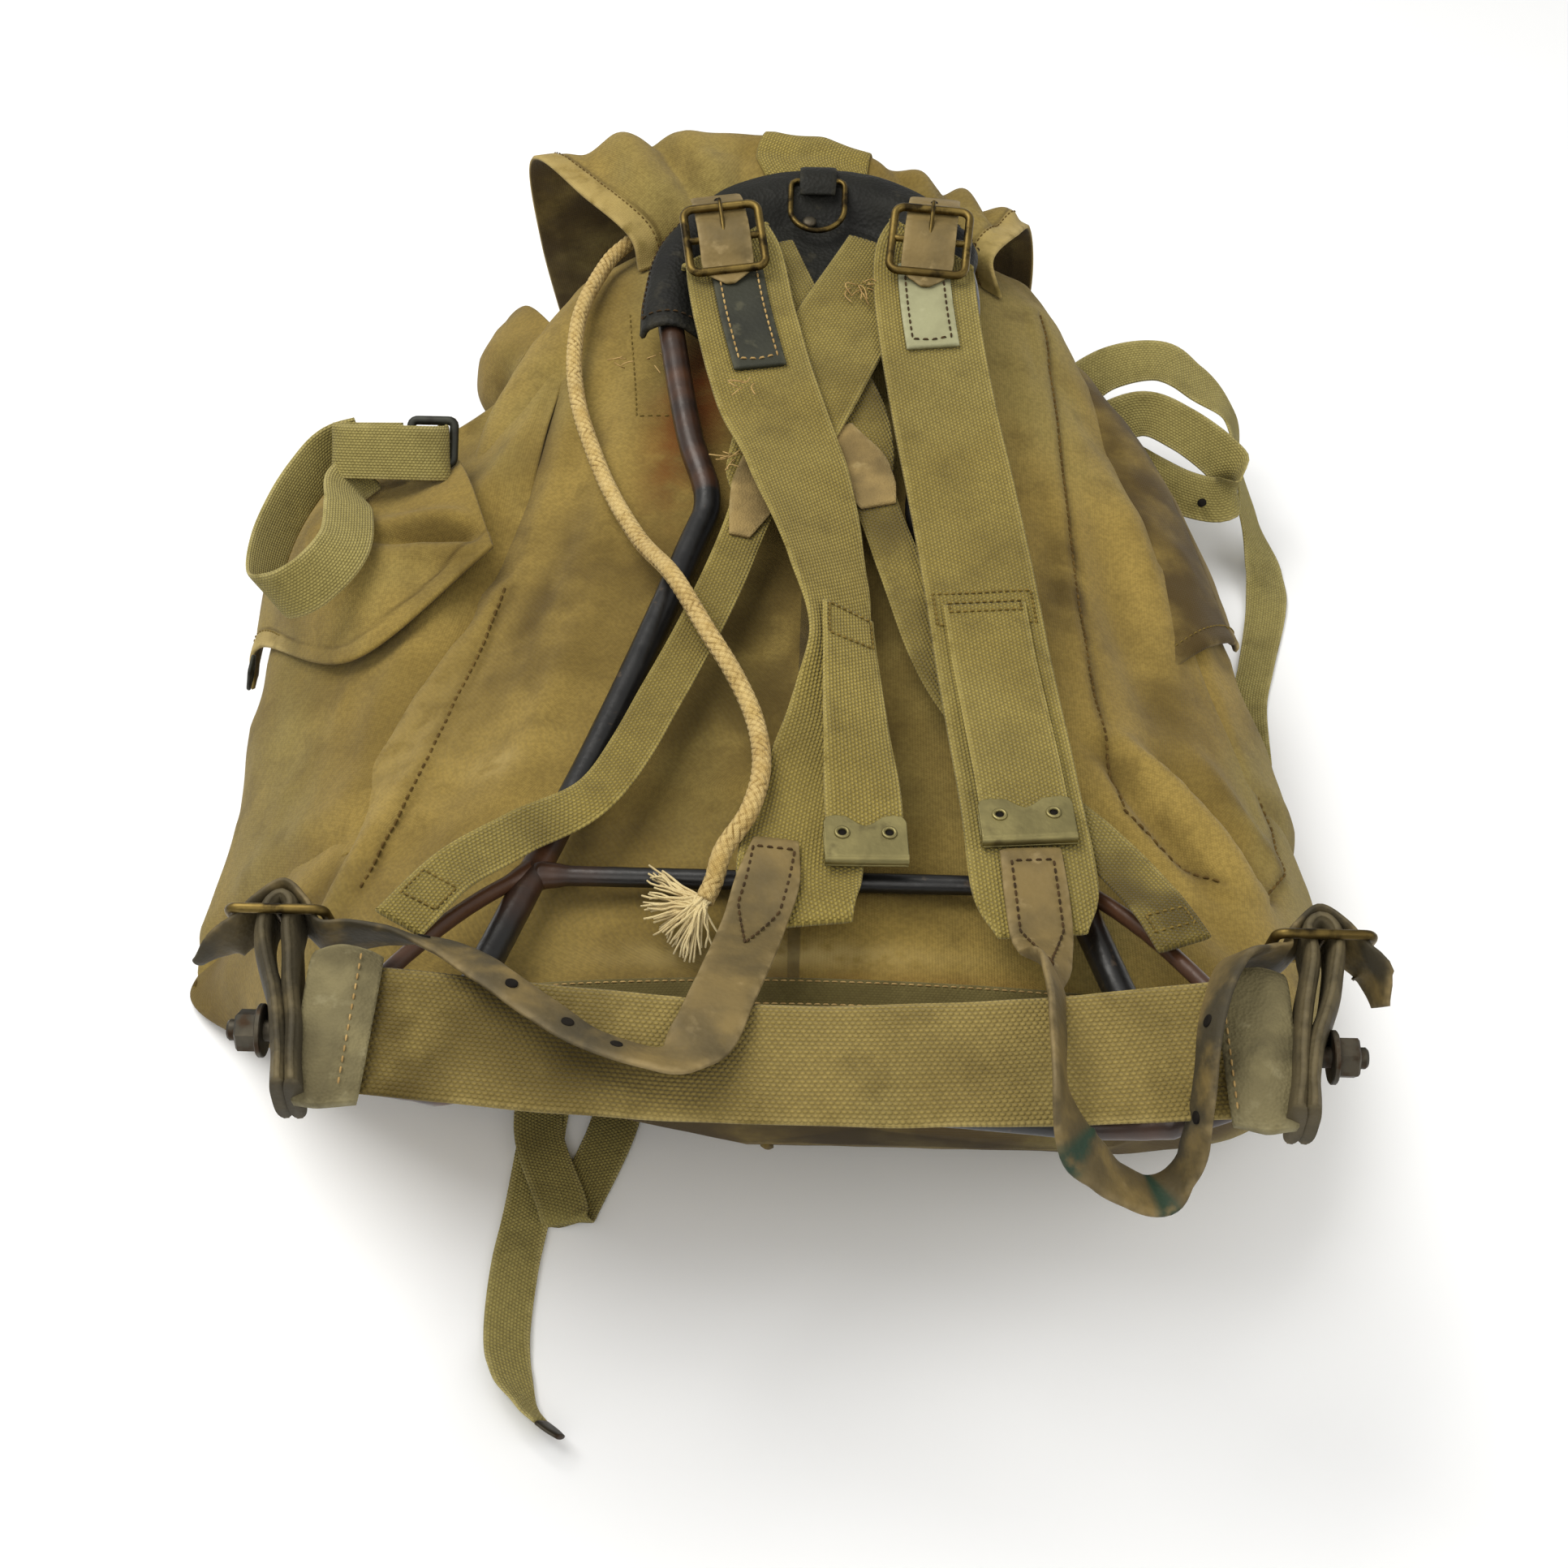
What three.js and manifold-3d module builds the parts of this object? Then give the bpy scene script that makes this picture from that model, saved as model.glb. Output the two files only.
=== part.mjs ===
// Military rucksack lying on its front: canvas sack on a steel A-frame, webbing straps, leather yoke.
// Millimetres. X to the right, Y from the base of the sack to its lid, Z up, floor at Z = 0.
import * as THREE from "three";
import Module from "manifold-3d";

const wasm = await Module();
wasm.setup();

// Driving dimensions
const CANVAS = 2.0;
const LEATHER = 3.0;
const STRAP_LEATHER = 3.4;
const WEBBING = 2.4;
const SHOULDER_WIDTH = 51;
const CROSS_WIDTH = 26;
const TAB_WIDTH = 37;
const BILLET_WIDTH = 26;
const FRAME_RADIUS = 6.5;
const CROSSBAR_RADIUS = 4.2;
const HIP_RADIUS = 5;
const ARM_RADIUS = 3.4;
const ROPE_RADIUS = 4;
const RING_WIRE = 1.5;
const TOP_BUCKLE = 42;
const TOP_WIRE = 4;
const SACK_RINGS = 21;
const SACK_ROUND = 30;

const V = (x, y, z) => new THREE.Vector3(x, y, z);

// Smooth value of one column of a table at u from 0 to 1, through every row
function column(rows, key, u) {
  const last = rows.length - 1;
  const place = Math.min(Math.max(u, 0), 1) * last;
  const i = Math.min(Math.floor(place), last - 1);
  const t = place - i;
  const b = rows[i][key];
  const c = rows[i + 1][key];
  const a = i > 0 ? rows[i - 1][key] : 2 * b - c;
  const d = i + 2 <= last ? rows[i + 2][key] : 2 * c - b;
  const m0 = 0.5 * (c - a);
  const m1 = 0.5 * (d - b);
  const t2 = t * t;
  const t3 = t2 * t;
  return (2 * t3 - 3 * t2 + 1) * b + (t3 - 2 * t2 + t) * m0 + (3 * t2 - 2 * t3) * c + (t3 - t2) * m1;
}

function place(rows, u) {
  return V(column(rows, "x", u), column(rows, "y", u), column(rows, "z", u));
}

// Straight mix of two neighbouring rows, for the way a strap faces
function facing(rows, u) {
  const last = rows.length - 1;
  const at = Math.min(Math.max(u, 0), 1) * last;
  const i = Math.min(Math.floor(at), last - 1);
  const t = at - i;
  const mix = (key) => rows[i][key] * (1 - t) + rows[i + 1][key] * t;
  return V(mix("nx"), mix("ny"), mix("nz")).normalize();
}

function geometryOf(verts, tris) {
  const geometry = new THREE.BufferGeometry();
  const flat = verts.flatMap((p) => [p.x, p.y, p.z]);
  geometry.setAttribute("position", new THREE.Float32BufferAttribute(flat, 3));
  geometry.setIndex(tris.flat());
  geometry.computeVertexNormals();
  return geometry;
}

// Frame of a strap at u: point, direction, face and side
function strapFrame(rows, u) {
  const step = 0.004;
  const p = place(rows, u);
  const way = place(rows, Math.min(u + step, 1)).sub(place(rows, Math.max(u - step, 0))).normalize();
  const side = way.clone().cross(facing(rows, u)).normalize();
  const face = side.clone().cross(way).normalize();
  return { p, way, side, face, w: column(rows, "w", u) };
}

// Flat strap swept through the rows of a table (x, y, z, face nx ny nz, width w)
function strap(rows, thick, per) {
  const n = (rows.length - 1) * per;
  const verts = [];
  const tris = [];
  for (let i = 0; i <= n; i += 1) {
    const f = strapFrame(rows, i / n);
    const s = f.side.clone().multiplyScalar(f.w / 2);
    const h = f.face.clone().multiplyScalar(thick / 2);
    verts.push(f.p.clone().add(s).add(h));
    verts.push(f.p.clone().sub(s).add(h));
    verts.push(f.p.clone().sub(s).sub(h));
    verts.push(f.p.clone().add(s).sub(h));
  }
  for (let i = 0; i < n; i += 1) {
    for (let k = 0; k < 4; k += 1) {
      const a = i * 4 + k;
      const b = i * 4 + ((k + 1) % 4);
      tris.push([a, a + 4, b + 4], [a, b + 4, b]);
    }
  }
  const e = n * 4;
  tris.push([0, 1, 2], [0, 2, 3], [e, e + 2, e + 1], [e, e + 3, e + 2]);
  return geometryOf(verts, tris);
}

// Rows of a piece lying on a strap between two places of it, raised off its face and shifted sideways
function onStrap(rows, from, to, lift, count, width, shift = 0) {
  const out = [];
  for (let i = 0; i < count; i += 1) {
    const f = strapFrame(rows, from + ((to - from) * i) / (count - 1));
    const p = f.p.add(f.face.clone().multiplyScalar(lift)).add(f.side.clone().multiplyScalar(shift));
    out.push({ x: p.x, y: p.y, z: p.z, nx: f.face.x, ny: f.face.y, nz: f.face.z, w: width });
  }
  return out;
}

// Point of a smooth surface through a grid of points
function gridPoint(grid, u, v) {
  const across = grid.map((row) => {
    const cells = row.map(([x, y, z]) => ({ x, y, z }));
    return place(cells, v);
  });
  return place(across, u);
}

// Cloth of even thickness on a smooth surface given by a function of u and v
function cloth(surface, thick, nu, nv) {
  const verts = [];
  const tris = [];
  const step = 0.004;
  const under = (nu + 1) * (nv + 1);
  const below = [];
  for (let i = 0; i <= nu; i += 1) {
    for (let j = 0; j <= nv; j += 1) {
      const u = i / nu;
      const v = j / nv;
      const du = surface(Math.min(u + step, 1), v).sub(surface(Math.max(u - step, 0), v));
      const dv = surface(u, Math.min(v + step, 1)).sub(surface(u, Math.max(v - step, 0)));
      const h = du.cross(dv).normalize().multiplyScalar(thick / 2);
      const p = surface(u, v);
      verts.push(p.clone().add(h));
      below.push(p.clone().sub(h));
    }
  }
  verts.push(...below);
  const at = (i, j) => i * (nv + 1) + j;
  for (let i = 0; i < nu; i += 1) {
    for (let j = 0; j < nv; j += 1) {
      const [a, b, c, d] = [at(i, j), at(i + 1, j), at(i + 1, j + 1), at(i, j + 1)];
      tris.push([a, b, c], [a, c, d]);
      tris.push([under + a, under + c, under + b], [under + a, under + d, under + c]);
    }
  }
  const wall = (a, b) => tris.push([a, under + a, under + b], [a, under + b, b]);
  for (let i = 0; i < nu; i += 1) {
    wall(at(i, 0), at(i + 1, 0));
    wall(at(i + 1, nv), at(i, nv));
  }
  for (let j = 0; j < nv; j += 1) {
    wall(at(nu, j), at(nu, j + 1));
    wall(at(0, j + 1), at(0, j));
  }
  return geometryOf(verts, tris);
}

const sheet = (grid, thick, nu, nv) => cloth((u, v) => gridPoint(grid, u, v), thick, nu, nv);

// Round bar along a table of points
function bar(rows, radius, sides, steps) {
  const path = new THREE.CatmullRomCurve3(rows.map((r) => V(r.x, r.y, r.z)), false, "catmullrom", 0.5);
  const round = new THREE.Shape();
  for (let k = 0; k < sides; k += 1) {
    const a = (2 * Math.PI * k) / sides;
    if (k === 0) round.moveTo(radius, 0);
    else round.lineTo(radius * Math.cos(a), radius * Math.sin(a));
  }
  return new THREE.ExtrudeGeometry(round, { steps, bevelEnabled: false, extrudePath: path });
}

// Closed hoop of round wire through points
function hoop(points, radius, sides) {
  const n = points.length;
  const verts = [];
  const tris = [];
  for (let i = 0; i < n; i += 1) {
    const way = points[(i + 1) % n].clone().sub(points[(i + n - 1) % n]).normalize();
    const up = V(0, 0, 1);
    const out = way.clone().cross(up).normalize();
    for (let k = 0; k < sides; k += 1) {
      const a = (2 * Math.PI * k) / sides;
      const rise = up.clone().multiplyScalar(radius * Math.sin(a));
      verts.push(points[i].clone().add(out.clone().multiplyScalar(radius * Math.cos(a))).add(rise));
    }
  }
  for (let i = 0; i < n; i += 1) {
    for (let k = 0; k < sides; k += 1) {
      const a = i * sides + k;
      const b = i * sides + ((k + 1) % sides);
      const c = ((i + 1) % n) * sides + ((k + 1) % sides);
      const d = ((i + 1) % n) * sides + k;
      tris.push([a, c, b], [a, d, c]);
    }
  }
  return geometryOf(verts, tris);
}

// Joining and cutting
function solid(geometry) {
  const pos = geometry.attributes.position;
  const seen = new Map();
  const coords = [];
  const map = [];
  for (let i = 0; i < pos.count; i += 1) {
    const key = [pos.getX(i), pos.getY(i), pos.getZ(i)].map((c) => Math.round(c * 2000)).join(",");
    if (!seen.has(key)) {
      seen.set(key, coords.length / 3);
      coords.push(pos.getX(i), pos.getY(i), pos.getZ(i));
    }
    map.push(seen.get(key));
  }
  const index = geometry.index ? Array.from(geometry.index.array) : map.map((_, i) => i);
  const tris = [];
  for (let i = 0; i < index.length; i += 3) {
    const [a, b, c] = [map[index[i]], map[index[i + 1]], map[index[i + 2]]];
    if (a !== b && b !== c && c !== a) tris.push(a, b, c);
  }
  const mesh = { numProp: 3, vertProperties: new Float32Array(coords), triVerts: new Uint32Array(tris) };
  return new wasm.Manifold(new wasm.Mesh(mesh));
}

function geometryFrom(body) {
  const mesh = body.getMesh();
  const geometry = new THREE.BufferGeometry();
  geometry.setAttribute("position", new THREE.Float32BufferAttribute(mesh.vertProperties, 3));
  geometry.setIndex(Array.from(mesh.triVerts));
  geometry.computeVertexNormals();
  return geometry;
}

function joined(pieces) {
  return geometryFrom(pieces.map(solid).reduce((a, b) => a.add(b)));
}

const group = new THREE.Group();
group.name = "military_rucksack";

const MATERIALS = {
  canvas: [0x96804f, 0.92, 0],
  webbing: [0x9a8850, 0.95, 0],
  black_leather: [0x34353a, 0.6, 0],
  brown_leather: [0x7c6a4c, 0.6, 0],
  grey_leather: [0x6f6a55, 0.8, 0],
  brass: [0x8a7440, 0.35, 1],
  steel: [0x3a352c, 0.45, 1],
  paint: [0x1c1c1e, 0.4, 0.3],
  rope: [0xc8ae72, 0.95, 0],
};

function add(name, geometry, look) {
  const [color, roughness, metalness] = MATERIALS[look];
  const mesh = new THREE.Mesh(geometry, new THREE.MeshStandardMaterial({ color, roughness, metalness }));
  mesh.name = name;
  group.add(mesh);
}

// Sack: one row a section from the base (-Y) to the mouth (+Y): panel height (top) and floor (f), then
// half-widths and heights of the seam (s), of the widest place (o) and of the floor (f), left and right
const SACK = [
  {
    y: -142, top: 122, f: 88,
    sl: 60, zsl: 120, ol: 85, zol: 106, fl: 60,
    sr: 120, zsr: 119, or: 142, zor: 104, fr: 112,
  },
  {
    y: -122, top: 143, f: 60,
    sl: 130, zsl: 131, ol: 168, zol: 98, fl: 125,
    sr: 158, zsr: 131, or: 190, zor: 96, fr: 152,
  },
  {
    y: -92, top: 150, f: 34,
    sl: 176, zsl: 129, ol: 210, zol: 70, fl: 172,
    sr: 176, zsr: 133, or: 216, zor: 80, fr: 182,
  },
  {
    y: -55, top: 152, f: 9,
    sl: 190, zsl: 122, ol: 246, zol: 40, fl: 218,
    sr: 178, zsr: 130, or: 230, zor: 68, fr: 198,
  },
  {
    y: -15, top: 152.5, f: 0,
    sl: 188, zsl: 120, ol: 274, zol: 20, fl: 258,
    sr: 165, zsr: 130, or: 234, zor: 62, fr: 206,
  },
  {
    y: 20, top: 152.5, f: 0,
    sl: 176, zsl: 122, ol: 268, zol: 22, fl: 250,
    sr: 148, zsr: 132, or: 234, zor: 60, fr: 206,
  },
  {
    y: 80, top: 153.5, f: 0,
    sl: 160, zsl: 126, ol: 244, zol: 34, fl: 220,
    sr: 137, zsr: 134, or: 220, zor: 66, fr: 195,
  },
  {
    y: 150, top: 156, f: 0,
    sl: 146, zsl: 131, ol: 220, zol: 46, fl: 190,
    sr: 129, zsr: 136, or: 197, zor: 78, fr: 175,
  },
  {
    y: 220, top: 162, f: 0,
    sl: 140, zsl: 135, ol: 200, zol: 60, fl: 165,
    sr: 125, zsr: 138, or: 178, zor: 88, fr: 155,
  },
  {
    y: 290, top: 168, f: 0,
    sl: 134, zsl: 140, ol: 180, zol: 74, fl: 145,
    sr: 121, zsr: 142, or: 154, zor: 98, fr: 133,
  },
  {
    y: 350, top: 171, f: 0,
    sl: 124, zsl: 146, ol: 162, zol: 84, fl: 128,
    sr: 112, zsr: 145, or: 134, zor: 104, fr: 112,
  },
  {
    y: 390, top: 168, f: 0,
    sl: 112, zsl: 142, ol: 146, zol: 84, fl: 112,
    sr: 102, zsr: 140, or: 118, zor: 104, fr: 98,
  },
];

// Long folds of the back panel: from and to (x, y), half-width and height, dips below zero
const FOLDS = [
  { x0: -130, y0: 330, x1: -185, y1: 120, w: 16, h: 6 },
  { x0: -105, y0: 300, x1: -160, y1: 60, w: 14, h: -5 },
  { x0: -88, y0: 250, x1: -150, y1: 20, w: 15, h: 5 },
  { x0: -150, y0: 40, x1: -196, y1: -60, w: 16, h: -6 },
  { x0: 100, y0: 320, x1: 118, y1: 90, w: 14, h: -4 },
  { x0: 150, y0: 260, x1: 190, y1: 60, w: 18, h: 5 },
  { x0: 150, y0: 20, x1: 205, y1: -50, w: 12, h: 6 },
  { x0: 130, y0: -10, x1: 190, y1: -80, w: 12, h: -6 },
];

function foldRise(x, y) {
  let rise = 0;
  for (const f of FOLDS) {
    const [dx, dy] = [f.x1 - f.x0, f.y1 - f.y0];
    const along = ((x - f.x0) * dx + (y - f.y0) * dy) / (dx * dx + dy * dy);
    const t = Math.min(Math.max(along, 0), 1);
    const gap = Math.hypot(x - f.x0 - t * dx, y - f.y0 - t * dy) / f.w;
    rise += f.h * Math.exp(-gap * gap) * Math.sin(Math.PI * (0.12 + 0.76 * t));
  }
  return rise;
}

// Section loop of the sack at u along it: eight key points joined smoothly, flat on the floor
function sackPoint(u, s) {
  const c = (key) => column(SACK, key, u);
  const keys = [
    [0, c("top")],
    [c("sr"), c("zsr")],
    [c("or"), c("zor")],
    [c("fr"), c("f")],
    [0, c("f")],
    [-c("fl"), c("f")],
    [-c("ol"), c("zol")],
    [-c("sl"), c("zsl")],
  ];
  const at = (((s % 1) + 1) % 1) * 8;
  const i = Math.floor(at);
  const t = at - i;
  const k = (n) => keys[(n + 8) % 8];
  const mix = (n) => {
    const [a, b, d, e] = [k(i - 1)[n], k(i)[n], k(i + 1)[n], k(i + 2)[n]];
    const m0 = 0.5 * (d - a);
    const m1 = 0.5 * (e - b);
    const t2 = t * t;
    const t3 = t2 * t;
    return (2 * t3 - 3 * t2 + 1) * b + (t3 - 2 * t2 + t) * m0 + (3 * t2 - 2 * t3) * d + (t3 - t2) * m1;
  };
  const [x, y] = [mix(0), c("y")];
  const floor = Math.max(c("f"), 0);
  let z = Math.max(mix(1), floor);
  if (at < 1.9 || at > 6.1) z += foldRise(x, y) * Math.min(1, Math.max(0, (z - 50) / 50));
  return V(x, y, z);
}

function sackNormal(u, s) {
  const a = sackPoint(u, s + 0.004).sub(sackPoint(u, s - 0.004));
  const b = sackPoint(Math.min(u + 0.004, 1), s).sub(sackPoint(Math.max(u - 0.004, 0), s));
  return a.cross(b).normalize();
}

function onSack(u, s, lift) {
  const p = sackPoint(u, s).add(sackNormal(u, s).multiplyScalar(lift));
  return [p.x, p.y, Math.max(p.z, CANVAS / 2 + 0.1)];
}

// Place along the sack where its sections reach a given y
function sackAt(y) {
  let [low, high] = [0, 1];
  for (let i = 0; i < 30; i += 1) {
    const mid = (low + high) / 2;
    if (column(SACK, "y", mid) < y) low = mid;
    else high = mid;
  }
  return low;
}

function sackBody() {
  const verts = [];
  const tris = [];
  const rings = SACK_RINGS;
  const round = SACK_ROUND;
  const inner = [];
  for (let i = 0; i < rings; i += 1) {
    const u = i / (rings - 1);
    for (let j = 0; j < round; j += 1) {
      const s = j / round;
      const p = sackPoint(u, s);
      const n = sackNormal(u, s);
      if (i === 0) n.add(V(0, -1, 0)).normalize();
      if (i === rings - 1) n.setY(0).normalize();
      verts.push(p);
      const q = p.clone().sub(n.clone().multiplyScalar(CANVAS));
      q.z = Math.max(q.z, CANVAS);
      inner.push(q);
    }
  }
  const shift = verts.length;
  verts.push(...inner);
  const at = (i, j) => i * round + (j % round);
  for (let i = 0; i < rings - 1; i += 1) {
    for (let j = 0; j < round; j += 1) {
      const [a, b, c, d] = [at(i, j), at(i + 1, j), at(i + 1, j + 1), at(i, j + 1)];
      tris.push([a, c, b], [a, d, c]);
      tris.push([shift + a, shift + b, shift + c], [shift + a, shift + c, shift + d]);
    }
  }
  const middle = (from) => {
    const m = V(0, 0, 0);
    for (let j = 0; j < round; j += 1) m.add(verts[from + j]);
    return m.multiplyScalar(1 / round);
  };
  const outerCap = verts.length;
  verts.push(middle(0).add(V(0, -3, 0)));
  const innerCap = verts.length;
  verts.push(middle(shift));
  const rim = (rings - 1) * round;
  for (let j = 0; j < round; j += 1) {
    const k = (j + 1) % round;
    tris.push([outerCap, k, j], [innerCap, shift + j, shift + k]);
    tris.push([rim + j, rim + k, shift + rim + k], [rim + j, shift + rim + k, shift + rim + j]);
  }
  return geometryOf(verts, tris);
}
add("sack", sackBody(), "canvas");

// Lid: a hood sewn to the back panel, over the ridge to the floor; rows run left to right
const LID_SEAM = [
  { s: -0.105, y: 368 },
  { s: -0.06, y: 376 },
  { s: 0, y: 380 },
  { s: 0.06, y: 374 },
  { s: 0.1, y: 352 },
];
const LID = [
  LID_SEAM.map((r) => onSack(sackAt(r.y), r.s, CANVAS / 2 + 0.4)),
  [[-97, 386, 172], [-60, 396, 177], [-2, 404, 179], [55, 387, 177], [90, 358, 173]],
  [[-126, 405, 174], [-86, 424, 185], [-2, 424, 187], [58, 402, 182], [104, 388, 168]],
  [[-161, 456, 165], [-80, 458, 178], [0, 448, 182], [62, 426, 170], [115, 430, 142]],
  [[-163, 480, 95], [-80, 492, 100], [0, 490, 100], [68, 464, 92], [119, 440, 98]],
  [[-156, 512, 3], [-78, 514, 2], [0, 515, 2], [70, 490, 2], [114, 444, 40]],
];
add("lid", sheet(LID, CANVAS, 10, 10), "canvas");

// Side pockets: cloth standing off the sack; lifts at the seam, upper bulge, side and floor
const POCKET_LEFT = [
  { y: -6, a: 3.2, b: 7, c: 11, d: 13 },
  { y: 25, a: 3.2, b: 10, c: 14, d: 14 },
  { y: 65, a: 3.2, b: 17, c: 26, d: 24 },
  { y: 120, a: 3.2, b: 23.5, c: 47.5, d: 48 },
  { y: 180, a: 3.2, b: 23.2, c: 58.2, d: 57 },
  { y: 235, a: 3.2, b: 17, c: 53, d: 50 },
  { y: 280, a: 3.2, b: 13, c: 43, d: 41 },
];
const POCKET_RIGHT = [
  { y: 40, a: 1.9, b: 3, c: 4, d: 3 },
  { y: 90, a: 1.9, b: 6, c: 8, d: 6 },
  { y: 160, a: 1.9, b: 9, c: 14, d: 12 },
  { y: 230, a: 1.9, b: 11, c: 20, d: 17 },
  { y: 290, a: 1.9, b: 12, c: 24, d: 20 },
];
const LEFT_PLACES = [{ s: 0.875 }, { s: 0.815 }, { s: 0.75 }, { s: 0.665 }];
const RIGHT_PLACES = [{ s: 0.19 }, { s: 0.225 }, { s: 0.27 }, { s: 0.335 }];
function standing(rows, places) {
  const keys = ["a", "b", "c", "d"].slice(0, places.length);
  return (u, v) => {
    const lifts = keys.map((key) => ({ lift: column(rows, key, u) }));
    const [x, y, z] = onSack(sackAt(column(rows, "y", u)), column(places, "s", v), column(lifts, "lift", v));
    return V(x, y, z);
  };
}
add("side_pocket_left", cloth(standing(POCKET_LEFT, LEFT_PLACES), CANVAS, 10, 8), "canvas");
add("side_pocket_right", cloth(standing(POCKET_RIGHT, RIGHT_PLACES), CANVAS, 8, 6), "canvas");

// Pocket flaps: from the sack's side over the pocket mouth; rows from the hinge to the hem
const FLAP_LEFT = [
  [[-282, 285, 30], [-273, 284, 66], [-238, 277, 98], [-188, 258, 121]],
  [[-288, 225, 30], [-281, 222, 66], [-247, 200, 112], [-170, 206, 143]],
  [[-288, 171, 30], [-279, 171, 60], [-216, 108, 114], [-153, 156, 144]],
];
add("pocket_flap_left", sheet(FLAP_LEFT, CANVAS, 7, 9), "canvas");

// Frame: legs and arch in one bend of tube, crossbar, hip bar and side arms brazed to it
const LEG = [
  { x: -140, y: -180, z: 173 },
  { x: -132, y: -141, z: 165 },
  { x: -125, y: -112, z: 160 },
  { x: -111, y: -62, z: 158 },
  { x: -83, y: 36, z: 159 },
  { x: -57, y: 135, z: 163 },
  { x: -50, y: 168, z: 166 },
  { x: -60, y: 206, z: 172 },
  { x: -70, y: 259, z: 179 },
  { x: -75, y: 300, z: 183 },
  { x: -70, y: 335, z: 186 },
  { x: -52, y: 364, z: 188.5 },
  { x: -28, y: 380, z: 190 },
];
const mirrored = (rows) => rows.map((r) => ({ ...r, x: -r.x })).reverse();
const TUBE = [...LEG, { x: 0, y: 385, z: 190.5 }, ...mirrored(LEG)];
const HIP = [
  { x: -178, y: -181, z: 190 },
  { x: -156, y: -184, z: 180 },
  { x: -133, y: -180, z: 172 },
  { x: -60, y: -172, z: 157 },
  { x: 0, y: -170, z: 153 },
  { x: 60, y: -176, z: 157 },
  { x: 111, y: -186, z: 166 },
  { x: 133, y: -188, z: 172 },
  { x: 156, y: -188, z: 180 },
  { x: 178, y: -181, z: 190 },
];
const ARM = [
  { x: -109, y: -58, z: 158 },
  { x: -130, y: -85, z: 168 },
  { x: -147, y: -116, z: 180 },
  { x: -163, y: -148, z: 187 },
  { x: -171, y: -180, z: 188 },
];
const CROSSBAR = [
  { x: -110, y: -62, z: 158 },
  { x: 0, y: -61, z: 156.8 },
  { x: 110, y: -62, z: 158 },
];
const frame = joined([
  bar(TUBE, FRAME_RADIUS, 8, 34),
  bar(HIP, HIP_RADIUS, 8, 12),
  bar(ARM, ARM_RADIUS, 8, 6),
  bar(mirrored(ARM), ARM_RADIUS, 8, 6),
  bar(CROSSBAR, CROSSBAR_RADIUS, 8, 2),
]);
add("frame", frame, "paint");

// Yoke: leather over the arch; places across it measured from the tube line (outward, above)
const ARCH = [
  { x: -75, y: 274, z: 180.5 },
  { x: -75, y: 300, z: 183 },
  { x: -70, y: 335, z: 186 },
  { x: -52, y: 364, z: 188.5 },
  { x: -28, y: 380, z: 190 },
  { x: 0, y: 385, z: 190.5 },
  { x: 28, y: 380, z: 190 },
  { x: 52, y: 364, z: 188.5 },
  { x: 70, y: 335, z: 186 },
  { x: 75, y: 300, z: 183 },
  { x: 75, y: 274, z: 180.5 },
];
const YOKE_ACROSS = [
  { out: 12.5, up: 0.5 },
  { out: 9, up: 6.5 },
  { out: 0, up: 9.2 },
  { out: -9, up: 6.5 },
  { out: -20, up: -3 },
];
function yokePoint(u, v) {
  const p = place(ARCH, u);
  const way = place(ARCH, Math.min(u + 0.01, 1)).sub(place(ARCH, Math.max(u - 0.01, 0))).normalize();
  const outward = V(-way.y, way.x, 0).normalize();
  const rim = Math.min(v / 0.62, 1);
  const q = p.clone().add(outward.multiplyScalar(column(YOKE_ACROSS, "out", rim)));
  q.z += column(YOKE_ACROSS, "up", rim);
  const inward = Math.max((v - 0.62) / 0.38, 0);
  const heart = V(q.x * 0.3, 276 + (q.y - 276) * 0.12, 176 + (q.y - 276) * 0.05);
  return q.lerp(heart, inward);
}
add("yoke", cloth((u, v) => yokePoint(1 - u, v), LEATHER, 13, 7), "black_leather");

// Shoulder straps: rows from the fold at the yoke to the lower end
const SHOULDER_RIGHT = [
  { x: 60, y: 342, z: 201, nx: -0.04, ny: -0.12, nz: 1, w: 51 },
  { x: 53, y: 319, z: 199, nx: -0.04, ny: -0.12, nz: 1, w: 51 },
  { x: 54, y: 280, z: 195, nx: -0.03, ny: -0.14, nz: 1, w: 51 },
  { x: 61, y: 221, z: 185.5, nx: 0, ny: -0.12, nz: 1, w: 51 },
  { x: 71, y: 148, z: 178.5, nx: 0, ny: -0.06, nz: 1, w: 51 },
  { x: 77, y: 95, z: 176, nx: 0, ny: -0.03, nz: 1, w: 51 },
  { x: 82, y: 43, z: 175, nx: 0, ny: 0, nz: 1, w: 51 },
  { x: 90, y: -30, z: 175, nx: 0, ny: 0, nz: 1, w: 51 },
  { x: 94, y: -79, z: 175, nx: 0, ny: 0, nz: 1, w: 51 },
  { x: 96, y: -101, z: 174, nx: 0, ny: -0.05, nz: 1, w: 36 },
];
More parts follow.
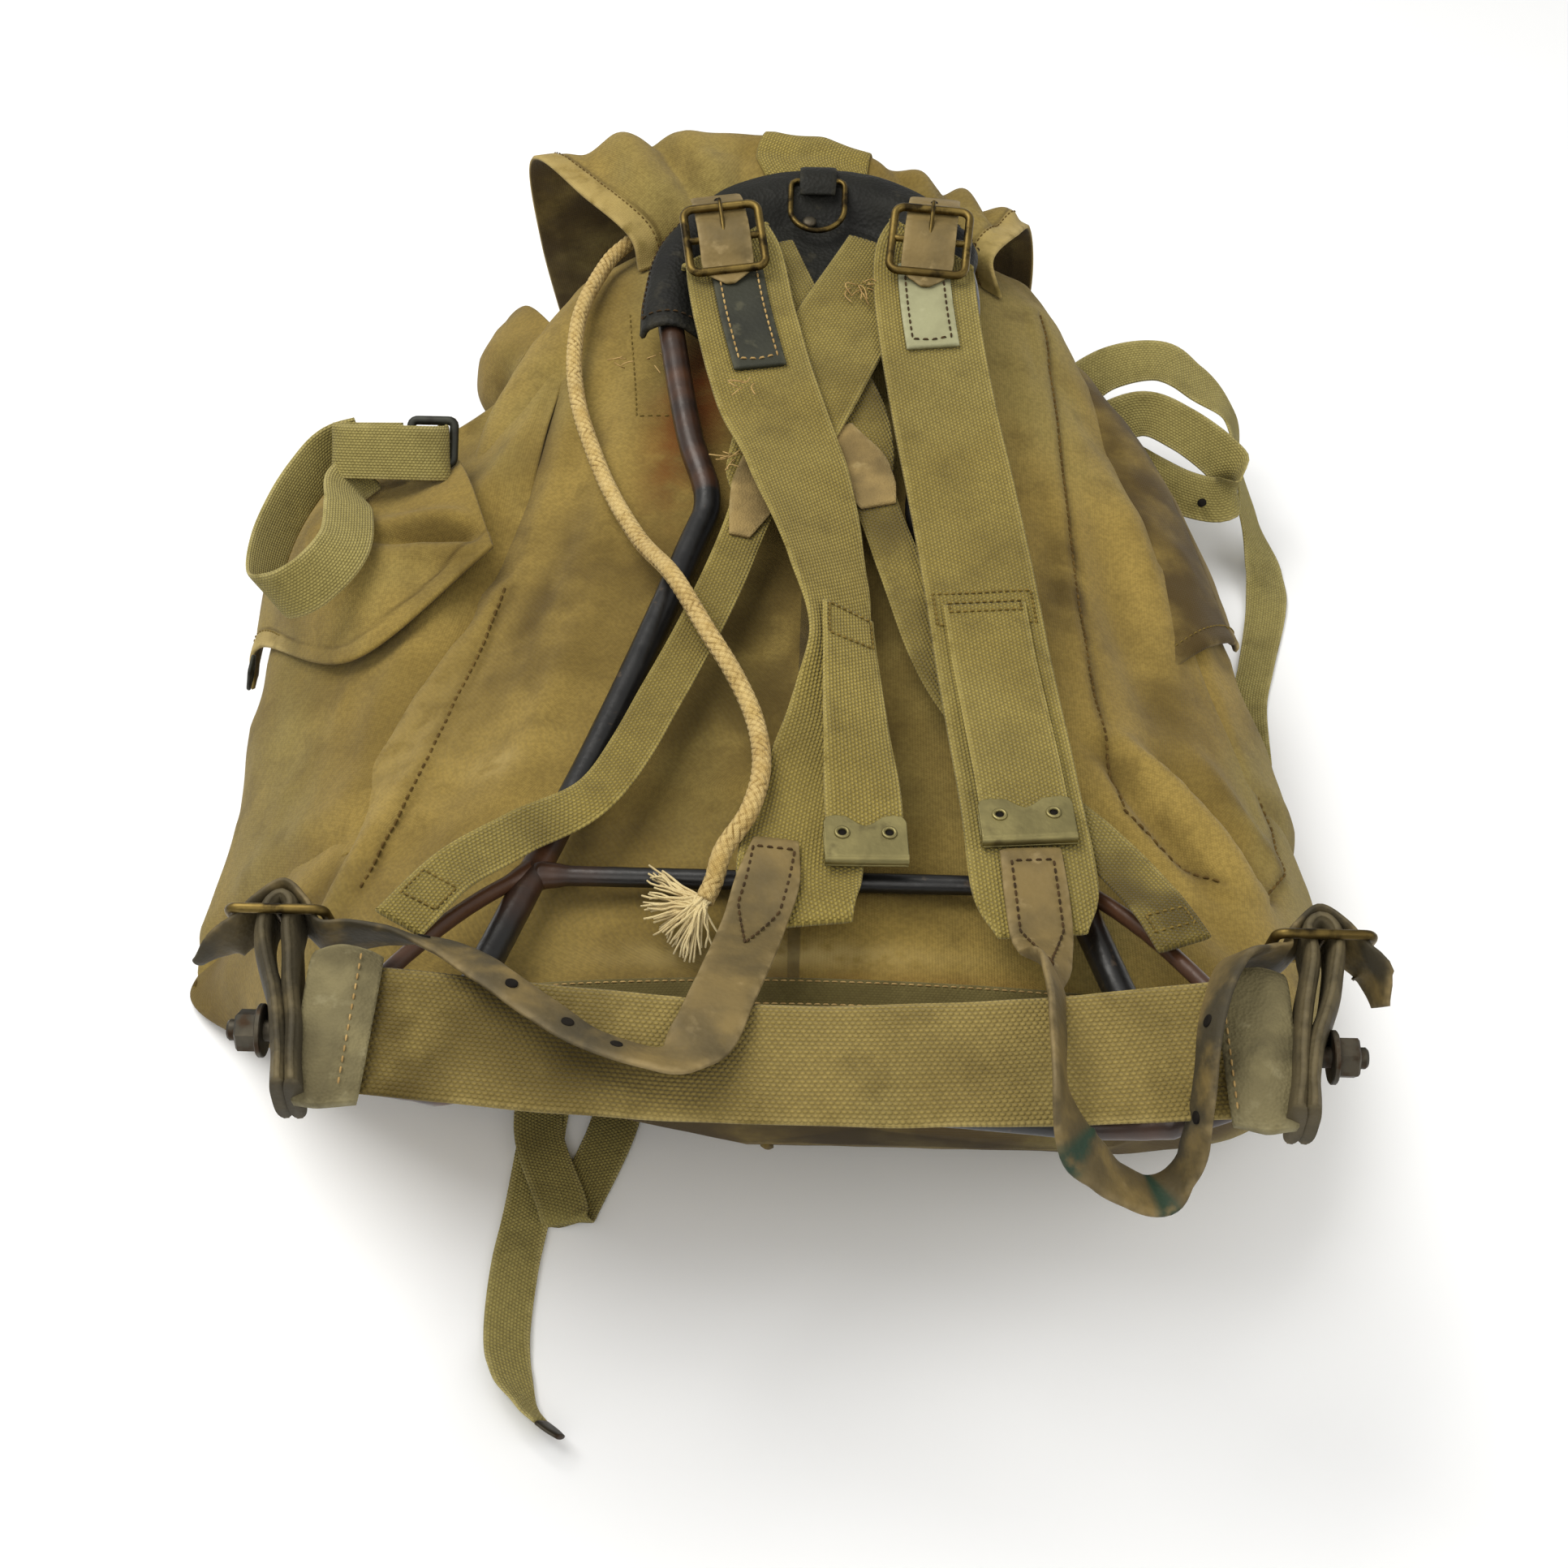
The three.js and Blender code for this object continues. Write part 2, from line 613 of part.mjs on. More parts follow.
const SHOULDER_LEFT = [
  { x: -55, y: 343, z: 201, nx: 0.04, ny: -0.12, nz: 1, w: 51 },
  { x: -44, y: 317, z: 199, nx: 0.04, ny: -0.12, nz: 1, w: 51 },
  { x: -36, y: 274, z: 195, nx: 0.03, ny: -0.12, nz: 1, w: 51 },
  { x: -23, y: 217, z: 190.5, nx: 0.05, ny: -0.1, nz: 1, w: 51 },
  { x: -7, y: 166, z: 188.5, nx: 0.25, ny: -0.06, nz: 0.95, w: 49 },
  { x: 8, y: 100, z: 186, nx: 0.5, ny: 0, nz: 0.86, w: 42 },
  { x: 14, y: 54, z: 184, nx: 0.6, ny: 0, nz: 0.8, w: 34 },
  { x: 12, y: 12, z: 180.5, nx: 0.1, ny: 0, nz: 1, w: 40 },
  { x: 3, y: -31, z: 177, nx: -0.2, ny: 0, nz: 0.98, w: 48 },
  { x: -1, y: -74, z: 175, nx: 0, ny: 0, nz: 1, w: 51 },
  { x: 2, y: -98, z: 173.5, nx: 0, ny: 0, nz: 1, w: 38 },
];
add("shoulder_strap_right", strap(SHOULDER_RIGHT, WEBBING, 2), "webbing");
add("shoulder_strap_left", strap(SHOULDER_LEFT, WEBBING, 2), "webbing");

// Cross straps: wide tails from the folds, narrow webbing below, hooked round the side arms
const CROSS_LEFT = [
  { x: 33, y: 336, z: 192.8, nx: 0, ny: -0.1, nz: 1, w: 51 },
  { x: 9, y: 277, z: 188.6, nx: 0, ny: -0.1, nz: 1, w: 51 },
  { x: -8, y: 219, z: 184.4, nx: 0, ny: -0.1, nz: 1, w: 51 },
  { x: -22, y: 172, z: 179.5, nx: 0, ny: -0.08, nz: 1, w: 44 },
  { x: -28, y: 150, z: 176.5, nx: 0, ny: -0.06, nz: 1, w: 26 },
  { x: -43, y: 93, z: 173, nx: -0.05, ny: -0.05, nz: 1, w: 26 },
  { x: -62, y: 36, z: 170.5, nx: -0.1, ny: -0.1, nz: 1, w: 26 },
  { x: -85, y: -25, z: 171.5, nx: -0.2, ny: -0.2, nz: 1, w: 26 },
  { x: -116, y: -54, z: 175, nx: -0.1, ny: -0.35, nz: 1, w: 26 },
  { x: -139, y: -80, z: 181, nx: -0.1, ny: -0.35, nz: 1, w: 26 },
  { x: -156, y: -114, z: 188, nx: 0, ny: -0.3, nz: 1, w: 26 },
];
const CROSS_RIGHT = [
  { x: -21, y: 336, z: 190.2, nx: 0, ny: -0.1, nz: 1, w: 51 },
  { x: 1, y: 281, z: 185.4, nx: 0, ny: -0.1, nz: 1, w: 51 },
  { x: 16, y: 224, z: 179.8, nx: 0, ny: -0.1, nz: 1, w: 51 },
  { x: 24, y: 190, z: 176, nx: 0, ny: -0.08, nz: 1, w: 44 },
  { x: 30, y: 164, z: 174, nx: 0, ny: -0.06, nz: 1, w: 26 },
  { x: 41, y: 117, z: 171.5, nx: 0, ny: -0.05, nz: 1, w: 26 },
  { x: 59, y: 51, z: 169.2, nx: 0, ny: 0, nz: 1, w: 26 },
  { x: 89, y: -6, z: 168.6, nx: 0.05, ny: 0, nz: 1, w: 26 },
  { x: 119, y: -44, z: 169.6, nx: 0.05, ny: -0.1, nz: 1, w: 26 },
  { x: 133, y: -68, z: 173.5, nx: 0.1, ny: -0.25, nz: 1, w: 26 },
  { x: 142, y: -92, z: 182, nx: 0.1, ny: -0.3, nz: 1, w: 26 },
  { x: 149, y: -115, z: 188, nx: 0, ny: -0.3, nz: 1, w: 26 },
];
add("cross_strap_left", strap(CROSS_LEFT, WEBBING, 2), "webbing");
add("cross_strap_right", strap(CROSS_RIGHT, WEBBING, 2), "webbing");

// Overlay tabs on the shoulder straps, with brass tips
const TAB_LIFT = WEBBING + 0.4;
const TAB_RIGHT = [
  ...onStrap(SHOULDER_RIGHT, 0.575, 0.66, TAB_LIFT, 3, TAB_WIDTH),
  ...onStrap(SHOULDER_RIGHT, 0.74, 0.825, TAB_LIFT + 2.4, 3, TAB_WIDTH),
];
const TAB_LEFT = [
  { x: 16.5, y: 68, z: 187.2, nx: 0.6, ny: 0, nz: 0.8, w: 32 },
  { x: 17.5, y: 48, z: 187.4, nx: 0.6, ny: 0, nz: 0.8, w: 33 },
  { x: 21, y: 3, z: 190, nx: 0.52, ny: 0, nz: 0.85, w: 36 },
  { x: 25, y: -32, z: 188, nx: 0.48, ny: 0, nz: 0.87, w: 37 },
  { x: 27, y: -47, z: 187, nx: 0.48, ny: 0, nz: 0.87, w: 37 },
  { x: 29, y: -62, z: 186, nx: 0.48, ny: 0, nz: 0.87, w: 37 },
];
add("strap_tab_right", strap(TAB_RIGHT, WEBBING, 2), "webbing");
add("strap_tab_left", strap(TAB_LEFT, WEBBING, 2), "webbing");

// Base binding tape along the bottom edge of the back panel
const BIND = [-0.115, -0.06, 0, 0.06, 0.115].map((s) => {
  const u = sackAt(-112);
  const [x, y, z] = onSack(u, s, 1.25);
  const n = sackNormal(u, s);
  return { x, y, z, nx: n.x, ny: n.y, nz: n.z, w: 13 };
});
add("base_binding", strap(BIND, 1.2, 2), "webbing");

// Waist belt between the frame ends
const BELT = [
  { x: -152, y: -177, z: 203, nx: 0, ny: -0.1, nz: 1, w: 54 },
  { x: -80, y: -180, z: 200, nx: 0, ny: -0.08, nz: 1, w: 57 },
  { x: 0, y: -181, z: 197, nx: 0, ny: -0.08, nz: 1, w: 57 },
  { x: 90, y: -178, z: 199, nx: 0, ny: -0.08, nz: 1, w: 59 },
  { x: 152, y: -175, z: 203, nx: 0, ny: -0.1, nz: 1, w: 59 },
];
add("belt", strap(BELT, 3, 3), "webbing");

// Rope: drawstring from the lid down over the frame leg to its frayed end
const ROPE = [
  { x: -102, y: 383, z: 162 },
  { x: -113, y: 366, z: 160 },
  { x: -123, y: 325, z: 160 },
  { x: -124, y: 287, z: 158 },
  { x: -119, y: 251, z: 157 },
  { x: -109, y: 216, z: 156 },
  { x: -97, y: 182, z: 156.5 },
  { x: -80, y: 141, z: 163 },
  { x: -62, y: 101, z: 178 },
  { x: -45, y: 63, z: 181 },
  { x: -32, y: 38, z: 179 },
  { x: -22, y: 12, z: 177 },
  { x: -18, y: -20, z: 182 },
  { x: -22, y: -46, z: 183 },
  { x: -32, y: -61, z: 175.5 },
  { x: -35.5, y: -73, z: 170 },
  { x: -39, y: -82, z: 168 },
];
add("rope", bar(ROPE, ROPE_RADIUS, 8, 30), "rope");

// Frayed end of the rope: locks splayed from the last of the braid; tips and their bend
const FRAY_HEAD = { x: -41.2, y: -86.6, z: 167 };
const LOCKS = [
  { x: -58, y: -63, z: 166, bend: 3 },
  { x: -61, y: -70, z: 165, bend: 3 },
  { x: -62, y: -78, z: 163, bend: 3 },
  { x: -58, y: -84, z: 161, bend: 4 },
  { x: -55, y: -90, z: 158, bend: 5 },
  { x: -50, y: -95, z: 156.5, bend: 5 },
  { x: -45, y: -101, z: 155.5, bend: 6 },
  { x: -35, y: -96, z: 158, bend: 4 },
];
const lockRows = (l) => [0, 0.5, 1].map((t) => ({
  x: FRAY_HEAD.x + (l.x - FRAY_HEAD.x) * t,
  y: FRAY_HEAD.y + (l.y - FRAY_HEAD.y) * t,
  z: FRAY_HEAD.z + (l.z - FRAY_HEAD.z) * t + l.bend * Math.sin(Math.PI * t),
  nx: 0,
  ny: 0,
  nz: 1,
  w: 4.6 - 1.2 * t,
}));
const knot = new THREE.SphereGeometry(3.6, 7, 5).translate(FRAY_HEAD.x, FRAY_HEAD.y, FRAY_HEAD.z);
add("rope_fray", joined([knot, ...LOCKS.map((l) => strap(lockRows(l), 3, 1))]), "rope");

// Brass tips folded over the tab ends, notched at the top, with two eyelet holes each
function tipBody(rows) {
  const f = strapFrame(rows, 1);
  const rise = WEBBING / 2 + 0.9;
  const at = (back, up) => {
    const p = f.p.clone().sub(f.way.clone().multiplyScalar(back));
    return p.add(f.face.clone().multiplyScalar(up));
  };
  const row = (p, n) => ({ x: p.x, y: p.y, z: p.z, nx: n.x, ny: n.y, nz: n.z, w: TAB_WIDTH + 2 });
  const down = f.face.clone().negate();
  const plate = [
    row(at(19, rise), f.face),
    row(at(0, rise), f.face),
    row(at(-2.6, 0), f.way),
    row(at(0, -rise), down),
    row(at(17, -rise), down),
  ];
  let body = solid(strap(plate, 1, 2));
  const notch = new THREE.ExtrudeGeometry(
    new THREE.Shape([new THREE.Vector2(-6, 9), new THREE.Vector2(0, 0), new THREE.Vector2(6, 9)]),
    { depth: 4, bevelEnabled: false },
  );
  const back = f.way.clone().negate();
  const turn = new THREE.Matrix4().makeBasis(f.side, back, f.side.clone().cross(back));
  const put = (geometry, away, across, up) => {
    const p = at(away, up).add(f.side.clone().multiplyScalar(across));
    return solid(geometry.clone().applyMatrix4(turn.clone().setPosition(p)));
  };
  const sign = f.side.clone().cross(back).dot(f.face) > 0 ? 1 : -1;
  body = body.subtract(put(notch, 14, 0, sign > 0 ? rise - 2 : rise + 2));
  const hole = new THREE.CylinderGeometry(1.6, 1.6, 4, 6).rotateX(Math.PI / 2);
  body = body.subtract(put(hole, 9, -11, rise));
  body = body.subtract(put(hole, 9, 11, rise));
  return geometryFrom(body);
}
add("strap_tip_right", tipBody(TAB_RIGHT), "brass");
add("strap_tip_left", tipBody(TAB_LEFT), "brass");

// Worn end patches where the wide tails meet the narrow webbing
const PATCH_LEFT = onStrap(CROSS_LEFT, 0.27, 0.41, WEBBING + 0.2, 4, 25);
const PATCH_RIGHT = onStrap(CROSS_RIGHT, 0.24, 0.42, WEBBING + 0.2, 4, 25);
add("cross_patch_left", strap(PATCH_LEFT, 1.8, 2), "brown_leather");
add("cross_patch_right", strap(PATCH_RIGHT, 1.8, 2), "brown_leather");

// A piece set at a place with its own across, along and outward directions
function setAt(geometry, o, across, along) {
  const out = across.clone().cross(along).normalize();
  const basis = new THREE.Matrix4().makeBasis(across, along, out).setPosition(o);
  return geometry.applyMatrix4(basis);
}

// Buckle: rounded frame with a middle bar and a prong resting on the far bar
function buckleBody(width, height, wire, corner, prong) {
  const rounded = (w, h, r) => {
    const shape = new THREE.Shape();
    shape.moveTo(-w / 2 + r, -h / 2);
    shape.lineTo(w / 2 - r, -h / 2);
    shape.quadraticCurveTo(w / 2, -h / 2, w / 2, -h / 2 + r);
    shape.lineTo(w / 2, h / 2 - r);
    shape.quadraticCurveTo(w / 2, h / 2, w / 2 - r, h / 2);
    shape.lineTo(-w / 2 + r, h / 2);
    shape.quadraticCurveTo(-w / 2, h / 2, -w / 2, h / 2 - r);
    shape.lineTo(-w / 2, -h / 2 + r);
    shape.quadraticCurveTo(-w / 2, -h / 2, -w / 2 + r, -h / 2);
    return shape;
  };
  const outline = rounded(width, height, corner);
  outline.holes.push(rounded(width - 2 * wire, height - 2 * wire, Math.max(corner - wire, 1)));
  const ring = new THREE.ExtrudeGeometry(outline, { depth: wire, bevelEnabled: false, curveSegments: 2 });
  ring.translate(0, 0, -wire / 2);
  const middle = new THREE.CylinderGeometry(wire / 2.2, wire / 2.2, width - wire, 8);
  middle.rotateZ(Math.PI / 2);
  const pieces = [ring, middle];
  if (prong) {
    const pin = new THREE.CylinderGeometry(1.1, 1.1, height / 2, 6);
    pin.rotateX(0.1);
    pin.translate(0, height / 4 - 0.4, wire / 2 + 0.1);
    pieces.push(pin);
  }
  return joined(pieces);
}

// Top buckles with the billets from the yoke laced through them and chapes sewn on the straps
const TOP = [
  { side: "left", o: V(-48, 316, 211.5), turn: 9, strap: SHOULDER_LEFT, from: 0.13, to: 0.27 },
  { side: "right", o: V(55, 317, 211.5), turn: -5, strap: SHOULDER_RIGHT, from: 0.135, to: 0.275 },
];
const LACED = [
  { along: 40, out: -15, w: 26 },
  { along: 30, out: -7.5, w: 26 },
  { along: 20, out: -3.7, w: 26 },
  { along: 14.5, out: -2, w: 26 },
  { along: 8, out: 2, w: 26 },
  { along: 0, out: 3.6, w: 26 },
  { along: -8, out: 2, w: 26 },
  { along: -14.5, out: -2, w: 26 },
  { along: -20, out: -3.4, w: 22 },
  { along: -27, out: -3.9, w: 5 },
];
for (const t of TOP) {
  const a = THREE.MathUtils.degToRad(t.turn);
  const lean = THREE.MathUtils.degToRad(12);
  const across = V(Math.cos(a), Math.sin(a) * Math.cos(lean), Math.sin(a) * Math.sin(lean));
  const along = V(-Math.sin(a), Math.cos(a) * Math.cos(lean), Math.cos(a) * Math.sin(lean));
  const out = across.clone().cross(along);
  const body = buckleBody(TOP_BUCKLE, TOP_BUCKLE, 3.4, 7, true);
  add("top_buckle_" + t.side, setAt(body, t.o, across, along), "brass");
  const rows = LACED.map((r) => {
    const p = t.o.clone().add(along.clone().multiplyScalar(r.along)).add(out.clone().multiplyScalar(r.out));
    return { x: p.x, y: p.y, z: p.z, nx: out.x, ny: out.y, nz: out.z, w: r.w };
  });
  const punch = new THREE.CylinderGeometry(1.9, 1.9, 20, 6).rotateX(0.1).translate(0, 11, 1.8);
  const billet = solid(strap(rows, 1.8, 1)).subtract(solid(setAt(punch, t.o, across, along)));
  add("top_billet_" + t.side, geometryFrom(billet), "brown_leather");
  const chape = onStrap(t.strap, t.from, t.to, WEBBING / 2 + 1.7, 5, 26);
  const dark = t.side === "left" ? "black_leather" : "grey_leather";
  add("buckle_chape_" + t.side, strap(chape, 2.4, 1), dark);
}

// Ring tab, D-ring and rivet on the yoke
const RING_TAB = [
  { x: -2, y: 397.5, z: 198.5, nx: 0, ny: 0.7, nz: 0.7, w: 19 },
  { x: -2, y: 391, z: 204, nx: 0, ny: 0.35, nz: 0.95, w: 19 },
  { x: -2, y: 382.5, z: 206.4, nx: 0, ny: 0, nz: 1, w: 19 },
  { x: -2, y: 374.5, z: 204.2, nx: 0, ny: -0.4, nz: 0.9, w: 19 },
  { x: -2, y: 367, z: 198.6, nx: 0, ny: -0.5, nz: 0.87, w: 19 },
];
add("ring_tab", strap(RING_TAB, 2, 2), "black_leather");
const RING = { x: -2, y: 381.5, z: 202.9, half: 14, reach: 33, drop: 0.24 };
function ringPoints() {
  const points = [];
  for (let k = 0; k <= 10; k += 1) {
    const a = Math.PI * (k / 10);
    const reach = (RING.reach - 14) + 14 * Math.sin(a);
    points.push(V(RING.x + RING.half * Math.cos(a), RING.y - reach, RING.z - reach * RING.drop));
  }
  points.push(V(RING.x - RING.half, RING.y - 4, RING.z - 4 * RING.drop));
  points.push(V(RING.x - RING.half + 3, RING.y, RING.z));
  points.push(V(RING.x + RING.half - 3, RING.y, RING.z));
  points.push(V(RING.x + RING.half, RING.y - 4, RING.z - 4 * RING.drop));
  return points;
}
add("d_ring", hoop(ringPoints(), RING_WIRE, 6), "steel");
const rivet = new THREE.CylinderGeometry(2, 3.6, 2, 10).rotateX(Math.PI / 2);
add("yoke_rivet", rivet.translate(-6, 361, 192.3), "steel");

// End straps of leather: stitched on the shoulder straps, laced through the lower buckles
const END_LEFT = [
  ...onStrap(SHOULDER_LEFT, 0.9, 0.995, WEBBING / 2 + 0.4 + STRAP_LEATHER / 2, 3, 25, 11),
].concat([
  { x: -17, y: -112, z: 181, nx: 0, ny: -0.4, nz: 0.9, w: 25 },
  { x: -24, y: -145, z: 203, nx: -0.1, ny: -0.4, nz: 0.9, w: 25 },
  { x: -33, y: -176, z: 208, nx: -0.2, ny: -0.1, nz: 0.97, w: 25 },
  { x: -45, y: -192, z: 211, nx: -0.1, ny: 0.15, nz: 0.98, w: 23 },
  { x: -60, y: -191, z: 212, nx: 0, ny: 0.35, nz: 0.93, w: 24 },
  { x: -76, y: -186, z: 213, nx: 0, ny: 0.4, nz: 0.92, w: 25 },
  { x: -92, y: -175, z: 214, nx: 0, ny: 0.4, nz: 0.92, w: 25 },
  { x: -112, y: -159, z: 213.5, nx: 0, ny: 0.5, nz: 0.86, w: 25 },
  { x: -132, y: -142, z: 208, nx: 0, ny: 0.65, nz: 0.75, w: 25 },
  { x: -155, y: -135, z: 206, nx: 0, ny: 0.9, nz: 0.4, w: 25 },
  { x: -171, y: -135.5, z: 205.5, nx: 0, ny: 0.98, nz: 0.2, w: 25 },
  { x: -179, y: -136.4, z: 205, nx: 0.3, ny: 0.95, nz: 0.1, w: 25 },
  { x: -186.5, y: -126.5, z: 205, nx: 0.6, ny: 0.8, nz: 0, w: 25 },
  { x: -196, y: -118.2, z: 205, nx: 0, ny: 1, nz: 0, w: 25 },
  { x: -205.5, y: -126.5, z: 205, nx: -0.6, ny: 0.8, nz: 0, w: 25 },
  { x: -213, y: -136.4, z: 204.5, nx: -0.4, ny: 0.9, nz: 0.1, w: 25 },
  { x: -219, y: -139, z: 202, nx: -0.4, ny: 0.8, nz: 0.3, w: 22 },
  { x: -227, y: -143, z: 197, nx: -0.4, ny: 0.7, nz: 0.5, w: 10 },
]);
add("end_strap_left", strap(END_LEFT, STRAP_LEATHER, 2), "brown_leather");
const END_RIGHT = [
  ...onStrap(SHOULDER_RIGHT, 0.865, 0.995, WEBBING / 2 + 0.4 + STRAP_LEATHER / 2, 3, 25),
].concat([
  { x: 96, y: -116, z: 182, nx: 0, ny: -0.45, nz: 0.9, w: 25 },
  { x: 96, y: -149, z: 212, nx: 0.2, ny: -0.3, nz: 0.9, w: 25 },
  { x: 97, y: -180, z: 218, nx: 0.55, ny: -0.1, nz: 0.8, w: 25 },
  { x: 99, y: -207, z: 217, nx: 0.75, ny: -0.4, nz: 0.55, w: 25 },
  { x: 104, y: -221, z: 198, nx: 0.8, ny: -0.5, nz: 0.3, w: 24 },
  { x: 113, y: -218, z: 185, nx: 0.75, ny: -0.2, nz: 0.6, w: 24 },
  { x: 123, y: -213, z: 175, nx: 0.4, ny: -0.1, nz: 0.9, w: 24 },
  { x: 133, y: -212, z: 174, nx: -0.1, ny: -0.1, nz: 1, w: 24 },
  { x: 140, y: -215, z: 182, nx: -0.8, ny: -0.15, nz: 0.6, w: 24 },
  { x: 144, y: -220, z: 196, nx: -0.92, ny: -0.3, nz: 0.25, w: 24 },
  { x: 146, y: -206, z: 220, nx: -0.8, ny: -0.1, nz: 0.6, w: 24 },
  { x: 149, y: -174, z: 225, nx: -0.7, ny: 0.2, nz: 0.7, w: 25 },
  { x: 157, y: -148, z: 222, nx: -0.5, ny: 0.7, nz: 0.5, w: 25 },
  { x: 169, y: -137, z: 212, nx: -0.1, ny: 0.95, nz: 0.3, w: 25 },
  { x: 179, y: -136.4, z: 205.5, nx: -0.3, ny: 0.95, nz: 0.1, w: 25 },
  { x: 186.5, y: -126.5, z: 205, nx: -0.6, ny: 0.8, nz: 0, w: 25 },
  { x: 196, y: -118.2, z: 205, nx: 0, ny: 1, nz: 0, w: 25 },
  { x: 205.5, y: -126.5, z: 205, nx: 0.6, ny: 0.8, nz: 0, w: 25 },
  { x: 213, y: -136.4, z: 204.5, nx: 0.4, ny: 0.9, nz: 0.1, w: 25 },
  { x: 216.5, y: -141, z: 201, nx: 0.5, ny: 0.8, nz: 0.3, w: 23 },
  { x: 218.5, y: -149, z: 195, nx: 0.6, ny: 0.7, nz: 0.4, w: 16 },
]);
add("end_strap_right", strap(END_RIGHT, STRAP_LEATHER, 2), "brown_leather");

// Lower buckles, their chapes folded round the middle bar, and the bolts through them
const LOWER = [
  { side: "left", m: -1, bolt: 195.6 },
  { side: "right", m: 1, bolt: 195.6 },
];
const LOWER_CHAPE = [
  { x: 183.4, y: -209, z: 203, nx: 1, ny: 0.1, nz: 0, w: 25 },
  { x: 188.4, y: -180, z: 203.5, nx: 1, ny: 0.15, nz: 0, w: 25 },
  { x: 196, y: -156, z: 204.5, nx: 1, ny: -0.1, nz: 0, w: 25 },
  { x: 200.6, y: -139, z: 205, nx: 1, ny: 0, nz: 0, w: 25 },
  { x: 200.4, y: -128, z: 205, nx: 0.95, ny: 0.3, nz: 0, w: 25 },
  { x: 196, y: -123.5, z: 205, nx: 0, ny: 1, nz: 0, w: 25 },
  { x: 191.6, y: -128, z: 205, nx: -0.95, ny: 0.3, nz: 0, w: 25 },
  { x: 191.4, y: -139, z: 205, nx: -1, ny: 0, nz: 0, w: 25 },
  { x: 188, y: -156, z: 204.5, nx: -1, ny: 0.1, nz: 0, w: 25 },
  { x: 183, y: -180, z: 203.5, nx: -1, ny: 0.15, nz: 0, w: 25 },
  { x: 178.4, y: -209, z: 203, nx: -1, ny: 0.1, nz: 0, w: 25 },
];
for (const l of LOWER) {
  const body = buckleBody(34, 40, 4, 6, false);
  const o = V(196 * l.m, -128.5, 205);
  add("lower_buckle_" + l.side, setAt(body, o, V(0, 0, 1), V(1, 0, 0)), "brass");
  const rows = LOWER_CHAPE.map((r) => ({ ...r, x: r.x * l.m, nx: r.nx * l.m }));
  add("lower_chape_" + l.side, strap(rows, 4.6, 2), "grey_leather");
  const washer = new THREE.CylinderGeometry(10, 10, 2.2, 14);
  const nut = new THREE.CylinderGeometry(8, 8, 8, 6).translate(0, 5, 0);
  const shank = new THREE.CylinderGeometry(4, 4, 13, 10).translate(0, 6, 0);
  const bolt = joined([washer, nut, shank]).rotateZ((-Math.PI / 2) * l.m);
  add("frame_bolt_" + l.side, bolt.translate(l.bolt * l.m, -179, 203), "steel");
  const ends = [
    { x: 154 * l.m, y: -176, z: 203.5, nx: 0, ny: -0.08, nz: 1, w: 62 },
    { x: 164 * l.m, y: -176, z: 204, nx: 0, ny: -0.08, nz: 1, w: 64 },
    { x: 175.5 * l.m, y: -176, z: 204, nx: 0, ny: -0.08, nz: 1, w: 64 },
  ];
  add("belt_end_" + l.side, strap(ends, 9, 1), "grey_leather");
}

// Right pocket flap, standing off the sack over the pocket mouth
const FLAP_RIGHT = [
  { y: 330, a: 1.5, b: 16, c: 25 },
  { y: 285, a: 1.5, b: 17, c: 29 },
  { y: 240, a: 1.5, b: 16, c: 28 },
  { y: 205, a: 1.5, b: 14, c: 24 },
];
const FLAP_PLACES = [{ s: 0.17 }, { s: 0.215 }, { s: 0.28 }];
add("pocket_flap_right", cloth(standing(FLAP_RIGHT, FLAP_PLACES), CANVAS, 6, 5), "canvas");

// Left side sleeve, an open canvas neck flared from the shoulder of the sack
const SLEEVE_SEAM = [{ s: 0.69 }, { s: 0.755 }, { s: 0.81 }];
const SLEEVE = [
  SLEEVE_SEAM.map((r) => onSack(sackAt(338), r.s, CANVAS / 2 + 1)),
  [[-172, 366, 36], [-187, 374, 74], [-171, 376, 99]],
  [[-164, 412, 40], [-176, 426, 80], [-148, 408, 94]],
];
add("side_sleeve_left", sheet(SLEEVE, CANVAS, 5, 6), "canvas");

// Left pocket strap rolled back on itself, its loop, the slide and the small flap buckle
const ROLL_LEFT = [
  { x: -186, y: 221, z: 147, nx: 0.1, ny: -0.65, nz: 0.75, w: 27 },
  { x: -210, y: 218, z: 149.5, nx: 0, ny: -0.65, nz: 0.75, w: 27 },
  { x: -233, y: 220, z: 148, nx: -0.1, ny: -0.65, nz: 0.75, w: 27 },
  { x: -239, y: 225, z: 144.5, nx: -1, ny: 0, nz: 0, w: 27 },
  { x: -233, y: 230, z: 141, nx: -0.1, ny: 0.65, nz: -0.75, w: 27 },
  { x: -206, y: 232, z: 140, nx: 0, ny: 0.65, nz: -0.75, w: 27 },
];
add("pocket_strap_left", strap(ROLL_LEFT, 2, 2), "webbing");
const LOOP_LEFT = [
  { x: -242, y: 208, z: 150, nx: 0.6, ny: -0.2, nz: 0.75, w: 24 },
  { x: -231, y: 184, z: 149, nx: 0.5, ny: -0.4, nz: 0.77, w: 26 },
  { x: -229, y: 156, z: 148, nx: 0.45, ny: -0.5, nz: 0.75, w: 26 },
  { x: -238, y: 134, z: 144, nx: 0.3, ny: -0.75, nz: 0.6, w: 26 },
  { x: -250, y: 126, z: 137, nx: -0.1, ny: -0.95, nz: 0.2, w: 26 },
  { x: -261, y: 138, z: 130, nx: -0.7, ny: -0.6, nz: -0.4, w: 26 },
  { x: -265, y: 168, z: 126, nx: -0.85, ny: 0, nz: -0.5, w: 26 },
  { x: -262, y: 198, z: 126, nx: -0.8, ny: 0.35, nz: -0.45, w: 26 },
  { x: -254, y: 220, z: 130, nx: -0.6, ny: 0.7, nz: -0.35, w: 26 },
];
